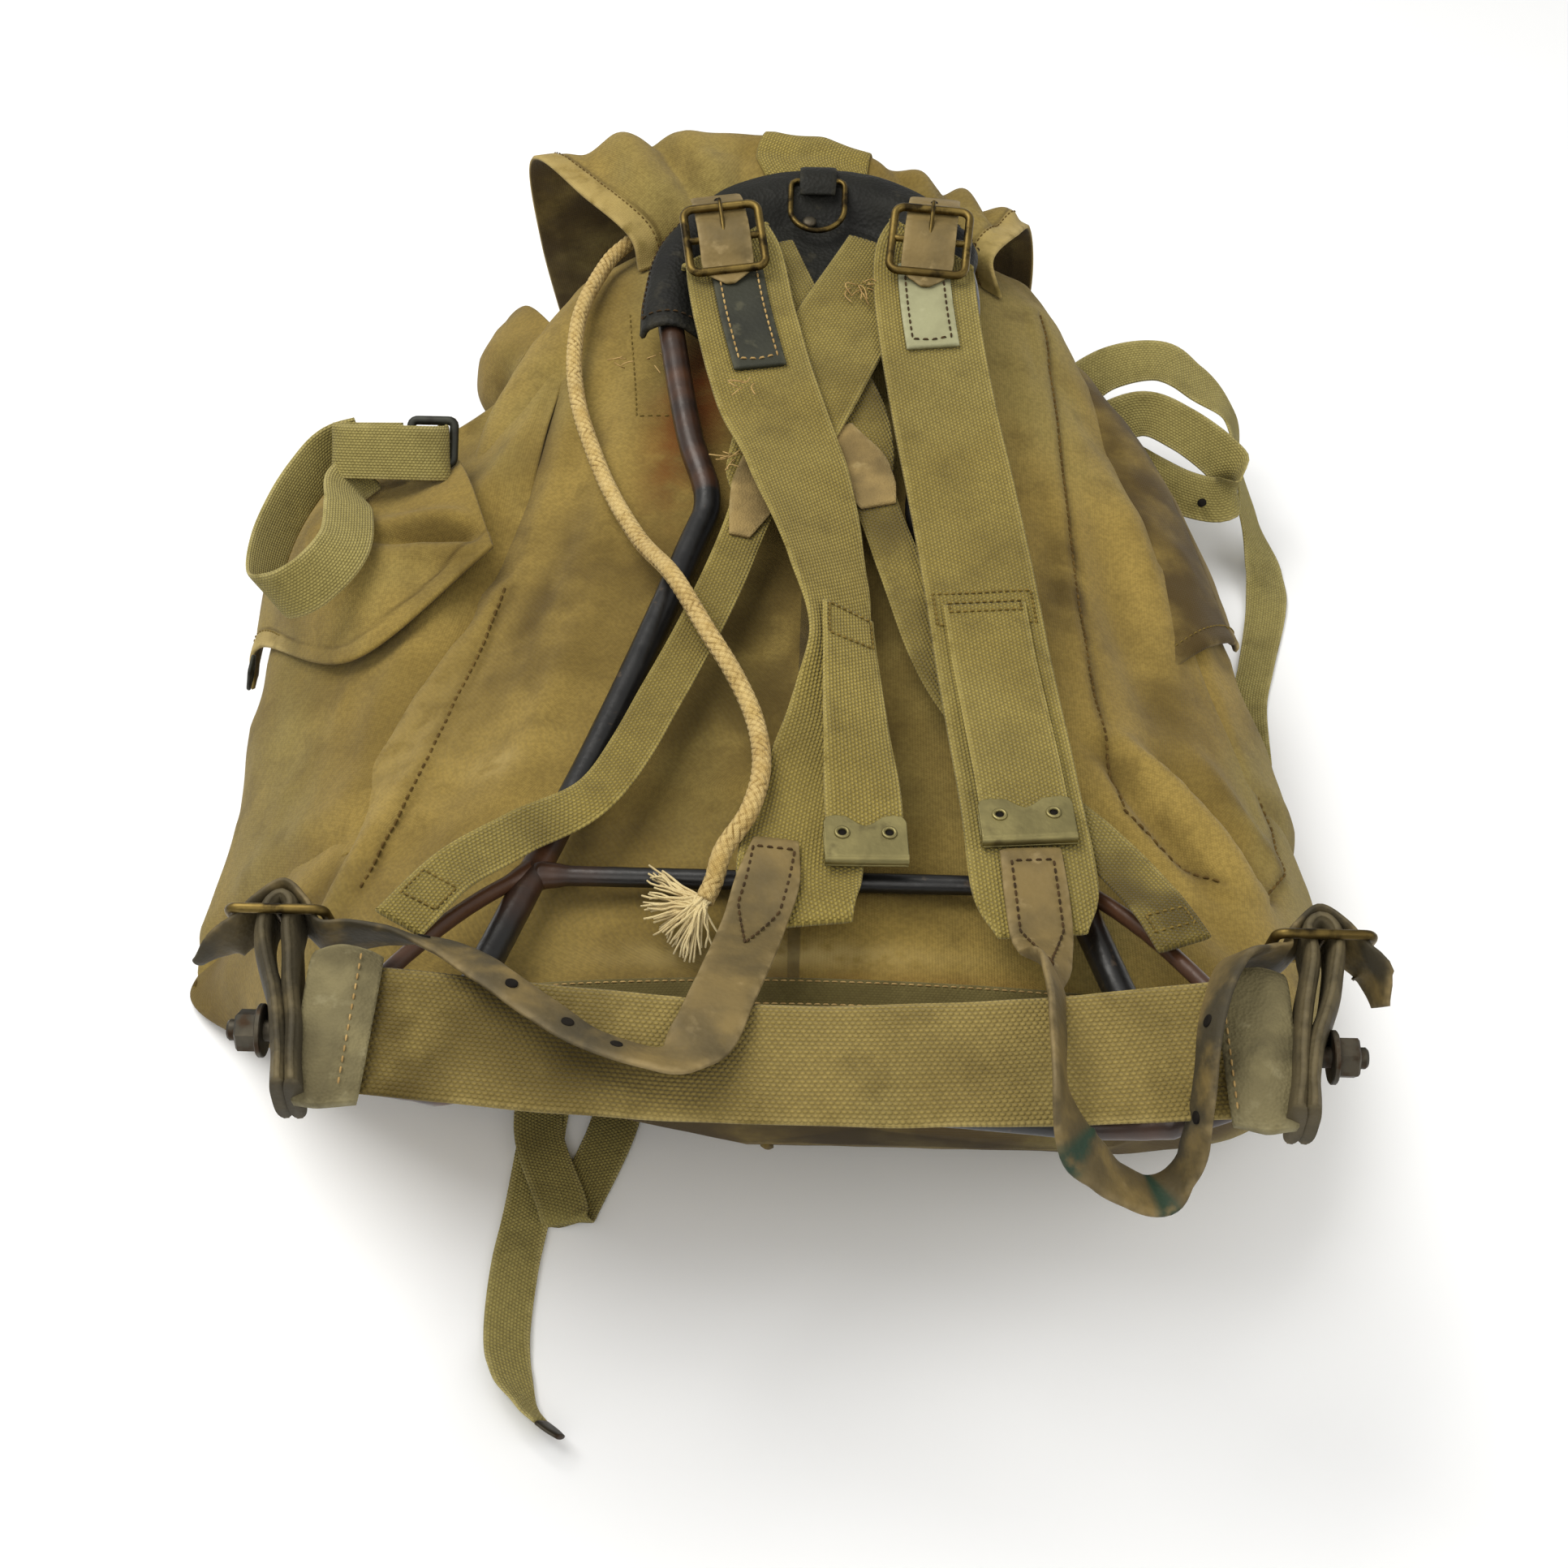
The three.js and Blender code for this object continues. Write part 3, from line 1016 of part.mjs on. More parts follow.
add("pocket_loop_left", strap(LOOP_LEFT, 2, 2), "webbing");
const slide = buckleBody(26, 34, 3, 4, false);
add("pocket_slide_left", setAt(slide, V(-189, 233, 150.2), V(1, 0, 0), V(0, 0.75, 0.65)), "steel");
const small = buckleBody(14, 16, 2.2, 3, false);
add("flap_buckle_left", setAt(small, V(-285.4, 166, 46), V(0, 1, 0), V(0.2, 0, 0.97)), "steel");

// Right pocket straps
const RIGHT_ONE = [
  { x: 134.6, y: 352, z: 66, nx: 0.93, ny: 0.36, nz: 0, w: 24 },
  { x: 138, y: 368, z: 73, nx: 0.8, ny: -0.1, nz: 0.5, w: 24 },
  { x: 160, y: 384, z: 83, nx: -0.1, ny: -0.5, nz: 0.85, w: 25 },
  { x: 189, y: 388, z: 87, nx: 0, ny: -0.4, nz: 0.9, w: 25 },
  { x: 209, y: 381, z: 79, nx: 0.4, ny: -0.3, nz: 0.85, w: 25 },
  { x: 230, y: 370, z: 64, nx: 0.85, ny: -0.1, nz: 0.5, w: 25 },
  { x: 236, y: 352, z: 44, nx: 0.95, ny: 0, nz: 0.3, w: 25 },
  { x: 243, y: 332, z: 22, nx: 0.8, ny: -0.1, nz: 0.6, w: 25 },
  { x: 251, y: 306, z: 6.5, nx: 0.35, ny: 0, nz: 0.9, w: 24 },
  { x: 250, y: 278, z: 1.6, nx: 0, ny: 0, nz: 1, w: 22 },
  { x: 240, y: 233, z: 1.6, nx: 0, ny: 0, nz: 1, w: 19 },
  { x: 233, y: 202, z: 1.6, nx: 0, ny: 0, nz: 1, w: 19 },
  { x: 231, y: 160, z: 1.6, nx: 0, ny: 0, nz: 1, w: 19 },
];
const RIGHT_TWO = [
  { x: 138.5, y: 337, z: 56, nx: 0.93, ny: 0.36, nz: 0, w: 24 },
  { x: 152, y: 348, z: 66, nx: 0.3, ny: -0.6, nz: 0.75, w: 25 },
  { x: 178, y: 352, z: 78, nx: 0, ny: -0.65, nz: 0.75, w: 25 },
  { x: 200, y: 342, z: 76, nx: 0, ny: -0.65, nz: 0.75, w: 25 },
  { x: 222, y: 331, z: 65, nx: -0.2, ny: -0.65, nz: 0.75, w: 25 },
  { x: 231, y: 321, z: 56, nx: -1, ny: 0, nz: 0, w: 25 },
  { x: 222, y: 314, z: 50, nx: -0.2, ny: 0.65, nz: -0.75, w: 25 },
  { x: 204, y: 318, z: 50, nx: 0, ny: 0.65, nz: -0.75, w: 25 },
];
add("pocket_strap_right", strap(RIGHT_ONE, 2, 2), "webbing");
add("pocket_loop_right", strap(RIGHT_TWO, 2, 2), "webbing");

// Base strap folded on the floor, its tail and metal tip
const BASE_FOLD = [
  { x: -79, y: -36, z: 1.5, nx: 0, ny: 0, nz: 1, w: 22 },
  { x: -84, y: -78, z: 1.5, nx: 0, ny: 0, nz: 1, w: 22 },
  { x: -94, y: -119, z: 1.5, nx: 0, ny: 0, nz: 1, w: 22 },
  { x: -94, y: -130.5, z: 3.7, nx: 0, ny: 1, nz: 0, w: 22 },
  { x: -94, y: -119, z: 5.8, nx: 0, ny: 0, nz: -1, w: 22 },
  { x: -112, y: -78, z: 4.2, nx: 0, ny: 0, nz: -1, w: 22 },
  { x: -116, y: -50, z: 4.1, nx: 0, ny: 0, nz: -1, w: 22 },
];
const BASE_TAIL = [
  { x: -114, y: -48, z: 1.5, nx: 0, ny: 0, nz: 1, w: 21 },
  { x: -118, y: -119, z: 1.5, nx: 0, ny: 0, nz: 1, w: 21 },
  { x: -121, y: -152, z: 1.5, nx: 0, ny: 0, nz: 1, w: 21 },
  { x: -121, y: -184, z: 1.6, nx: 0, ny: 0, nz: 1, w: 20 },
  { x: -117, y: -204, z: 4.5, nx: 0.25, ny: 0.3, nz: 0.9, w: 18 },
  { x: -109, y: -221, z: 7.5, nx: 0.5, ny: 0.55, nz: 0.6, w: 14 },
  { x: -102, y: -229, z: 8.5, nx: 0.5, ny: 0.6, nz: 0.55, w: 11 },
];
add("base_strap", strap(BASE_FOLD, 2, 2), "webbing");
add("base_tail", strap(BASE_TAIL, 2, 2), "webbing");
const BASE_TIP = [
  { x: -101.4, y: -229.5, z: 8.5, nx: 0.5, ny: 0.6, nz: 0.55, w: 11 },
  { x: -97, y: -233, z: 9, nx: 0.5, ny: 0.6, nz: 0.55, w: 11 },
  { x: -93, y: -236, z: 9.4, nx: 0.5, ny: 0.6, nz: 0.55, w: 7 },
];
add("base_strap_tip", strap(BASE_TIP, 2.4, 1), "steel");

export default group;
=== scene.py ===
"""Military rucksack lying on its front, dressed over its solids. Tables in millimetres, objects in metres."""
import math
from functools import partial

import bmesh
import bpy
import numpy as np
from mathutils import Matrix, Vector, noise


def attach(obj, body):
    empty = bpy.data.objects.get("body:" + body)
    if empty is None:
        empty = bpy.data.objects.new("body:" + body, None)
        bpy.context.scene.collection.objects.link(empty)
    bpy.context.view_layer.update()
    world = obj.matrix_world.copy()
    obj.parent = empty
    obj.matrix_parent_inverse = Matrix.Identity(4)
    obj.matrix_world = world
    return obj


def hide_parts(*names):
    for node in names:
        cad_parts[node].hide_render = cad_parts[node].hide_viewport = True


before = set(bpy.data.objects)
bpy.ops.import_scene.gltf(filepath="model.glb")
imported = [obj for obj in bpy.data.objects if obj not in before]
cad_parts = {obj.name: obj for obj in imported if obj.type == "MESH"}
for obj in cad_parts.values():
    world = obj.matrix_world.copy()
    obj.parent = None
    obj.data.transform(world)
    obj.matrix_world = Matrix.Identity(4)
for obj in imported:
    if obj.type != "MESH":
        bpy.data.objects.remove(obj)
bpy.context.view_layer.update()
MM = 0.001
CHANCE = np.random.default_rng(11)

# Camera at the photo's angle
ELEVATION = 47.0
AZIMUTH = 1.3
ROLL = 0.4
LENS = 55.9
SENSOR = 36
DISTANCE = 1.05
TARGET = Vector((-0.009, 0, 0.15))

# Thicknesses
CANVAS = 2.0
LEATHER = 3.0
STRAP_LEATHER = 3.4
BILLET_LEATHER = 1.9
CHAPE_LEATHER = 2.4
TAB_LEATHER = 2.0
CHAPE_FOLD = 7.0
BELT_SLEEVE = 12
SUEDE = 1.8
WEBBING = 2.4
THIN_WEBBING = 2.0
BELT_WEBBING = 3.0
TAPE = 1.2

# Widths, radii, hems and the lift of the tape
SHOULDER_WIDTH = 51
TAIL_WIDTH = 21
TAB_WIDTH = 37
INCH_LEATHER = 25
BILLET_WIDTH = 26
TAPE_WIDTH = 13
TAPE_LIFT = 1.25
HEM = 11
LID_HEM = 13
HEM_STITCH = 1.5
HEM_FLOOR = 1.8
BELT_WIDTH = 54
FRAME_RADIUS = 6.5
CROSSBAR_RADIUS = 4.2
HIP_RADIUS = 5
ARM_RADIUS = 3.4
RING_WIRE = 1.5


def make_camera():
    e, a, r = (math.radians(d) for d in (ELEVATION, AZIMUTH, ROLL))
    back = Vector((math.sin(a) * math.cos(e), -math.cos(a) * math.cos(e), math.sin(e)))
    right = (-back).cross(Vector((0, 0, 1))).normalized()
    up = right.cross(-back)
    right, up = right * math.cos(r) + up * math.sin(r), up * math.cos(r) - right * math.sin(r)
    data = bpy.data.cameras.new("camera")
    data.lens = LENS
    data.sensor_width = SENSOR
    data.clip_start = 0.05
    data.clip_end = 20
    camera = bpy.data.objects.new("camera", data)
    place = Matrix((right, up, back)).transposed().to_4x4()
    place.translation = TARGET + back * DISTANCE
    camera.matrix_world = place
    bpy.context.scene.collection.objects.link(camera)
    bpy.context.scene.camera = camera


make_camera()


# Tables, curves and grids. A step is the small way along a curve that gives its direction
STEP = 0.004


def table(columns, *rows):
    return {key: np.array([r[i] for r in rows], float) for i, key in enumerate(columns.split())}


def xyz(rows):
    return np.stack([rows["x"], rows["y"], rows["z"]], 1)


def unit(v):
    return v / np.maximum(np.linalg.norm(v, axis=-1, keepdims=True), 1e-9)


def smooth(x, low, high):
    t = np.clip((x - low) / (high - low), 0, 1)
    return t * t * (3 - 2 * t)


def cubic(p0, p1, p2, p3, t):
    """Smooth value between p1 and p2, at t from 0 to 1."""
    m0 = (p2 - p0) / 2
    m1 = (p3 - p1) / 2
    near = ((2 * t - 3) * t * t + 1) * p1 + ((t - 2) * t + 1) * t * m0
    return near + (3 - 2 * t) * t * t * p2 + (t - 1) * t * t * m1


def spline(values, u):
    """Smooth values through every row of a column, at places u from 0 to 1."""
    a = np.asarray(values, float)
    a = np.concatenate([[2 * a[0] - a[1]], a, [2 * a[-1] - a[-2]]])
    last = len(a) - 3
    at = np.clip(np.asarray(u, float), 0, 1) * last
    i = np.minimum(at.astype(int), last - 1)
    t = (at - i).reshape(at.shape + (1,) * (a.ndim - 1))
    return cubic(a[i], a[i + 1], a[i + 2], a[i + 3], t)


def surface(grid, u, v):
    """Smooth surface through a grid of points, at every u and v."""
    across = np.stack([spline(row, v) for row in np.asarray(grid, float)])
    return spline(across, u)


def bumps(p, size, seed):
    """Even noise from about -1 to 1 at points p, with features of that size in millimetres."""
    q = np.asarray(p, float).reshape(-1, 3) / size + seed
    out = np.array([noise.noise(Vector(row)) for row in q])
    return out.reshape(np.shape(p)[:-1])


def runs(p):
    """Distance gone from the first point of a line, or from the first row of a grid."""
    return np.cumsum(np.linalg.norm(np.diff(p, axis=0, prepend=p[:1]), axis=-1), 0)


def resampled(p, pitch):
    """Points an even distance apart along a line."""
    p = np.asarray(p, float)
    run = runs(p)
    n = max(int(run[-1] / pitch), 2)
    at = np.linspace(0, run[-1], n + 1)
    return np.stack([np.interp(at, run, p[:, k]) for k in range(p.shape[1])], 1)


def even(rows, pitch, start=0.0):
    """Places along a table that lie an even distance apart, and the whole length."""
    u = np.linspace(start, 1, 1200)
    run = runs(spline(xyz(rows), u))
    n = max(int(run[-1] / pitch), 4)
    return np.interp(np.linspace(0, run[-1], n + 1), run, u), run[-1]


def quads(nu, nv, round_u=False, round_v=False):
    i, j = np.meshgrid(np.arange(nu - (not round_u)), np.arange(nv - (not round_v)), indexing="ij")
    k = (i + 1) % nu
    m = (j + 1) % nv
    return np.stack([i * nv + j, k * nv + j, k * nv + m, i * nv + m], -1).reshape(-1, 4)


class Body:
    """Gathers the grids of one piece. A tone is three shares: faded, grime with painted shade, and rusty."""

    def __init__(self):
        self.points = []
        self.faces = []
        self.uvs = []
        self.tones = []
        self.count = 0

    def add(self, points, faces, uv=None, tone=None):
        points = np.asarray(points, float).reshape(-1, 3)
        n = len(points)
        self.points.append(points)
        self.faces += [np.asarray(f) + self.count for f in (faces if isinstance(faces, list) else [faces])]
        self.uvs.append(np.zeros((n, 2)) if uv is None else np.asarray(uv, float).reshape(-1, 2))
        self.tones.append(np.zeros((n, 3)) if tone is None else np.asarray(tone, float).reshape(-1, 3))
        self.count += n

    def make(self, name, look, slot, solid=True, body="pack", sharp=None):
        """Object of the piece, in place of the solid of its own name where it has one."""
        mesh = bpy.data.meshes.new(name)
        mesh.vertices.add(self.count)
        mesh.vertices.foreach_set("co", (np.concatenate(self.points) * MM).ravel())
        flat = np.concatenate([f.ravel() for f in self.faces])
        sizes = np.concatenate([np.full(len(f), f.shape[1]) for f in self.faces])
        mesh.loops.add(len(flat))
        mesh.loops.foreach_set("vertex_index", flat)
        mesh.polygons.add(len(sizes))
        mesh.polygons.foreach_set("loop_start", np.concatenate([[0], np.cumsum(sizes)[:-1]]))
        mesh.polygons.foreach_set("loop_total", sizes)
        mesh.update(calc_edges=True)
        weave = mesh.uv_layers.new(name="weave").data
        weave.foreach_set("uv", (np.concatenate(self.uvs)[flat] * MM).ravel())
        tones = np.concatenate([np.concatenate(self.tones), np.ones((self.count, 1))], 1)
        tone = mesh.color_attributes.new("tone", "FLOAT_COLOR", "POINT").data
        tone.foreach_set("color", tones.ravel())
        made = bmesh.new()
        made.from_mesh(mesh)
        bmesh.ops.recalc_face_normals(made, faces=made.faces)
        made.to_mesh(mesh)
        made.free()
        mesh.polygons.foreach_set("use_smooth", np.ones(len(sizes), bool))
        if sharp:
            mesh.set_sharp_from_angle(angle=math.radians(sharp))
        mesh.materials.append(LOOKS[look])
        obj = bpy.data.objects.new(name + "_look", mesh)
        bpy.context.scene.collection.objects.link(obj)
        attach(obj, body)
        if solid:
            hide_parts(name)
        return obj


def normals_of(p):
    return unit(np.cross(np.gradient(p, axis=0), np.gradient(p, axis=1)))


def outward(p):
    """1 or -1: whether the normals of a grid point away from the middle of the bag."""
    return np.sign(np.sum(normals_of(p) * (p - np.array([0, 200, 80]))))


def shell(body, p, thick, tone=None, inside=None, sign=1):
    """Cloth or leather of some thickness on a grid of points, with rounded edges."""
    nu, nv = p.shape[:2]
    n = normals_of(p)
    half = np.broadcast_to(np.asarray(thick, float), (nu, nv))[..., None] / 2
    i = [np.arange(nu), np.full(nv - 1, nu - 1), np.arange(nu - 2, -1, -1), np.zeros(nv - 2, int)]
    j = [np.zeros(nu, int), np.arange(1, nv), np.full(nu - 1, nv - 1), np.arange(nv - 2, 0, -1)]
    i = np.concatenate(i)
    j = np.concatenate(j)
    inner = p[np.clip(i, 1, nu - 2), np.clip(j, 1, nv - 2)]
    rim = p[i, j] + unit(p[i, j] - inner) * half[i, j] * 0.8
    uv = np.stack([runs(p), runs(p.transpose(1, 0, 2)).T], -1).reshape(-1, 2)
    cells = quads(nu, nv)
    size = nu * nv
    at = i * nv + j
    tone = np.zeros((size, 3)) if tone is None else tone.reshape(-1, 3)
    under = tone if inside is None else np.tile(inside, (size, 1))
    top, low = (tone, under) if sign > 0 else (under, tone)
    nxt = np.roll(np.arange(len(at)), -1)
    ring = 2 * size + np.arange(len(at))
    wall_top = np.stack([at, at[nxt], ring[nxt], ring], -1)
    wall_low = np.stack([ring, ring[nxt], size + at[nxt], size + at], -1)
    body.add(
        np.concatenate([(p + n * half).reshape(-1, 3), (p - n * half).reshape(-1, 3), rim]),
        np.concatenate([cells, cells[:, ::-1] + size, wall_top[:, ::-1], wall_low[:, ::-1]]),
        np.concatenate([uv, uv, uv[at]]),
        np.concatenate([top, low, tone[at]]),
    )


def route(width, *rows):
    """Table of a strap. A row is a place, the way its face looks unless that is up, and its own width."""
    return table("x y z nx ny nz w", *[(*r, *(0, 0, 1, width)[len(r) - 3 :]) for r in rows])


def strap_frame(rows, u):
    """Points, the ways along, across and out of a strap, and its width, at places u from 0 to 1."""
    u = np.asarray(u, float)
    line = xyz(rows)
    turn = np.stack([rows["nx"], rows["ny"], rows["nz"]], 1)
    at = np.clip(u, 0, 1) * (len(line) - 1)
    i = np.minimum(at.astype(int), len(line) - 2)
    t = (at - i)[..., None]
    t = t * t * (3 - 2 * t)
    way = unit(spline(line, np.minimum(u + STEP, 1)) - spline(line, np.maximum(u - STEP, 0)))
    side = unit(np.cross(way, turn[i] * (1 - t) + turn[i + 1] * t))
    return spline(line, u), way, side, np.cross(side, way), spline(rows["w"], u)


SLANT_RUN = 40
EDGE_WEAR = 3.0
PAINT_SPOT = 0.013


def strap(body, rows, thick, pitch=2.4, across=12, slant=0, wobble=0, start=0.0, dirt=0, paint=()):
    """Flat strap through a table, edges rounded; slant cuts its head askew, paint marks places along it."""
    u, length = even(rows, pitch, start)
    p, way, side, face, w = strap_frame(rows, u)
    w = w[:, None]
    run = np.linspace(0, length, len(u))[:, None]
    k = np.sin(np.linspace(-1, 1, across + 1) * math.pi / 2)[None, :]
    off = k * w / 2
    half = thick / 2 * np.maximum(np.sqrt(np.clip(1 - np.abs(k) ** (w / thick), 0, 1)), 0.3)
    skew = slant * k * smooth(SLANT_RUN - run, 0, SLANT_RUN)
    mid = p[:, None] + side[:, None] * off[..., None] + way[:, None] * skew[..., None]
    lift = wobble * bumps(mid, 26, thick) * smooth(np.minimum(run, length - run), 0, 15)
    top = mid + face[:, None] * (lift + half)[..., None]
    low = mid + face[:, None] * (lift - half)[..., None]
    ring = np.concatenate([top, low[:, ::-1]], 1)
    ring[..., 2] = np.maximum(ring[..., 2], 0)
    uv = np.stack([np.broadcast_to(run, off.shape), off], -1)
    edge = smooth(np.abs(off), w / 2 - EDGE_WEAR, w / 2)
    # Darkening ramp along the strap: grime on some straps, painted shade on others.
    ramp = np.atleast_1d(dirt)
    soil_and_shade = np.interp(np.linspace(0, 1, len(u)), np.linspace(0, 1, len(ramp)), ramp)[:, None]
    grime_and_shade = soil_and_shade * (0.5 + 0.5 * bumps(mid, 33, 4.0))
    spots = 0 * edge
    for place in paint:
        spots += np.exp(-(((u - place) / PAINT_SPOT) ** 4))[:, None]
    tone = np.stack([0.6 * edge, np.clip(grime_and_shade, 0, 1), spots], -1)
    m = across + 1
    n = len(u)
    faces = quads(n, 2 * m, round_v=True)
    j = np.arange(across)
    cap = np.stack([j, j + 1, 2 * m - 2 - j, 2 * m - 1 - j], -1)
    faces = np.concatenate([faces, cap[:, ::-1], cap + (n - 1) * 2 * m])
    body.add(ring, faces, np.concatenate([uv, uv[:, ::-1]], 1), np.concatenate([tone, tone[:, ::-1]], 1))


def on_strap(rows, start, end, lift, widths):
    """Table of a piece lying on a strap between two places of it, with its width at each row."""
    p, _, _, face, _ = strap_frame(rows, np.linspace(start, end, len(widths)))
    return route(0, *[(*a, *b, w) for a, b, w in zip(p + face * lift, face, widths)])


def joined(*tables):
    return {key: np.concatenate([t[key] for t in tables]) for key in tables[0]}


def strap_line(rows, places, lift):
    """Points and faces on a strap along a broken line of (place along, millimetres across)."""
    path = resampled(np.array(places, float) * [1000, 1], 1.0) / [1000, 1]
    p, _, side, face, _ = strap_frame(rows, path[:, 0])
    return p + side * path[:, 1:] + face * lift, face


# Pitch, length and radius of each kind of stitch, and the stitches of each thread
STITCH = {
    "hem": (3.6, 2.4, 0.35), "seam": (4.6, 3.5, 0.62), "darn": (4.2, 2.6, 0.4), "tape": (3.4, 2.5, 0.32),
    "box": (3.0, 2.2, 0.55), "tail": (3.0, 2.2, 0.5), "yoke": (4.2, 2.9, 0.42), "chape": (4.4, 3.1, 0.5),
    "end": (4.0, 2.8, 0.5), "belt": (4.4, 2.8, 0.4),
}
SEWN = {"dark": Body(), "brown": Body(), "pale": Body(), "olive": Body()}


def sew(thread, kind, p, n):
    """Row of stitches along points p with faces n, each one dipping into the surface at its ends."""
    pitch, length, radius = STITCH[kind]
    run = runs(p)
    count = max(int(run[-1] / pitch), 1)
    at = (np.arange(count) + 0.5) * run[-1] / count
    pick = lambda a, q: np.stack([np.interp(q, run, a[:, k]) for k in range(3)], 1)
    way = unit(pick(p, at + 0.6) - pick(p, at - 0.6))
    up = unit(pick(n, at))
    side = unit(np.cross(up, way))
    a = np.linspace(0, 2 * math.pi, 6, endpoint=False)
    along = np.array([-0.5, -0.28, 0.28, 0.5]) * length
    wide = np.array([0.35, 1, 1, 0.35]) * radius
    rise = np.array([-0.9, 0.35, 0.35, -0.9]) * radius
    ring = (
        pick(p, at)[:, None, None]
        + way[:, None, None] * along[:, None, None]
        + up[:, None, None] * (rise[:, None] + wide[:, None] * np.sin(a))[..., None]
        + side[:, None, None] * (wide[:, None] * np.cos(a))[..., None]
    )
    faces = quads(4, 6, round_v=True)
    shift = 24 * np.arange(count)[:, None, None]
    SEWN[thread].add(ring, (faces[None] + shift).reshape(-1, 4))


def tube(body, p, radius, sides, closed=False, up=None, tone=None):
    """Round bar along points p. Its radius may differ along and round it."""
    p = np.asarray(p, float)
    n = len(p)
    way = unit(np.roll(p, -1, 0) - np.roll(p, 1, 0)) if closed else unit(np.gradient(p, axis=0))
    first = np.array(up if up is not None else (0.3, 0.2, 0.93), float)
    ups = np.zeros_like(p)
    ups[0] = unit(first - way[0] * (first @ way[0]))
    for i in range(1, n):
        base = first if up is not None else ups[i - 1]
        ups[i] = unit(base - way[i] * (base @ way[i]))
    out = np.cross(way, ups)
    a = np.linspace(0, 2 * math.pi, sides, endpoint=False)
    radius = np.asarray(radius, float)
    r = np.broadcast_to(radius if radius.ndim == 2 else radius.reshape(-1, 1), (n, sides))
    ring = p[:, None] + out[:, None] * (r * np.cos(a))[..., None] + ups[:, None] * (r * np.sin(a))[..., None]
    faces = [quads(n, sides, closed, True)]
    run = runs(p)
    uv = np.stack(np.broadcast_arrays(run[:, None], np.mean(r) * a[None]), -1)
    if not closed:
        faces += [np.arange(sides)[None, ::-1], (n - 1) * sides + np.arange(sides)[None]]
    if tone is not None:
        tone = np.broadcast_to(tone[:, None] if np.ndim(tone) == 2 else tone, (n, sides, 3))
    body.add(ring, faces, uv, tone)


def lathe(body, profile, o, axis, sides, turn=0.0):
    """Turned or hexagonal piece: a profile of (along, radius) swept round an axis at o."""
    axis = unit(np.array(axis, float))
    side = unit(np.cross(axis, (0.1, 0.3, 0.95)))
    other = np.cross(axis, side)
    a = np.linspace(0, 2 * math.pi, sides, endpoint=False) + turn
    ring = np.stack([np.cos(a)[:, None] * side + np.sin(a)[:, None] * other] * len(profile))
    q = np.array(profile, float)
    p = np.array(o, float) + q[:, :1, None] * axis + q[:, 1:, None] * ring
    n = len(profile)
    ends = [np.arange(sides)[None, ::-1], (n - 1) * sides + np.arange(sides)[None]]
    body.add(p, [quads(n, sides, False, True), *ends])


def local(p, o, across, along):
    """Points given across, along and out of a piece, set at o."""
    out = unit(np.cross(across, along))
    p = np.asarray(p, float)
    return np.array(o, float) + p[..., :1] * across + p[..., 1:2] * along + p[..., 2:] * out


def rounded(w, h, r):
    """Closed outline of a rounded rectangle."""
    a = np.linspace(0, math.pi / 2, 7)
    arc = np.stack([np.cos(a), np.sin(a)], 1) * r
    turn = np.array([[0, 1], [-1, 0]])
    corners = []
    for k, (sx, sy) in enumerate([(1, 1), (-1, 1), (-1, -1), (1, -1)]):
        corners.append(arc @ np.linalg.matrix_power(turn, k) + [sx * (w / 2 - r), sy * (h / 2 - r)])
    line = np.concatenate(corners + [corners[0][:1]])
    return resampled(line, 1.2)[:-1]


# Materials, by name, and the colours of wear that they share
LOOKS = {}
RUST_STAIN = (104, 56, 18)
LEATHER_GRIME = (58, 52, 37)
GREEN_PAINT = (34, 54, 40)
BARE_RUST = (74, 47, 30)


def tint(*colour):
    """Colour as the eye sees it, 0 to 255, turned into light."""
    shares = [c / 255 for c in colour]
    return tuple(c / 12.92 if c <= 0.04045 else ((c + 0.055) / 1.055) ** 2.4 for c in shares)


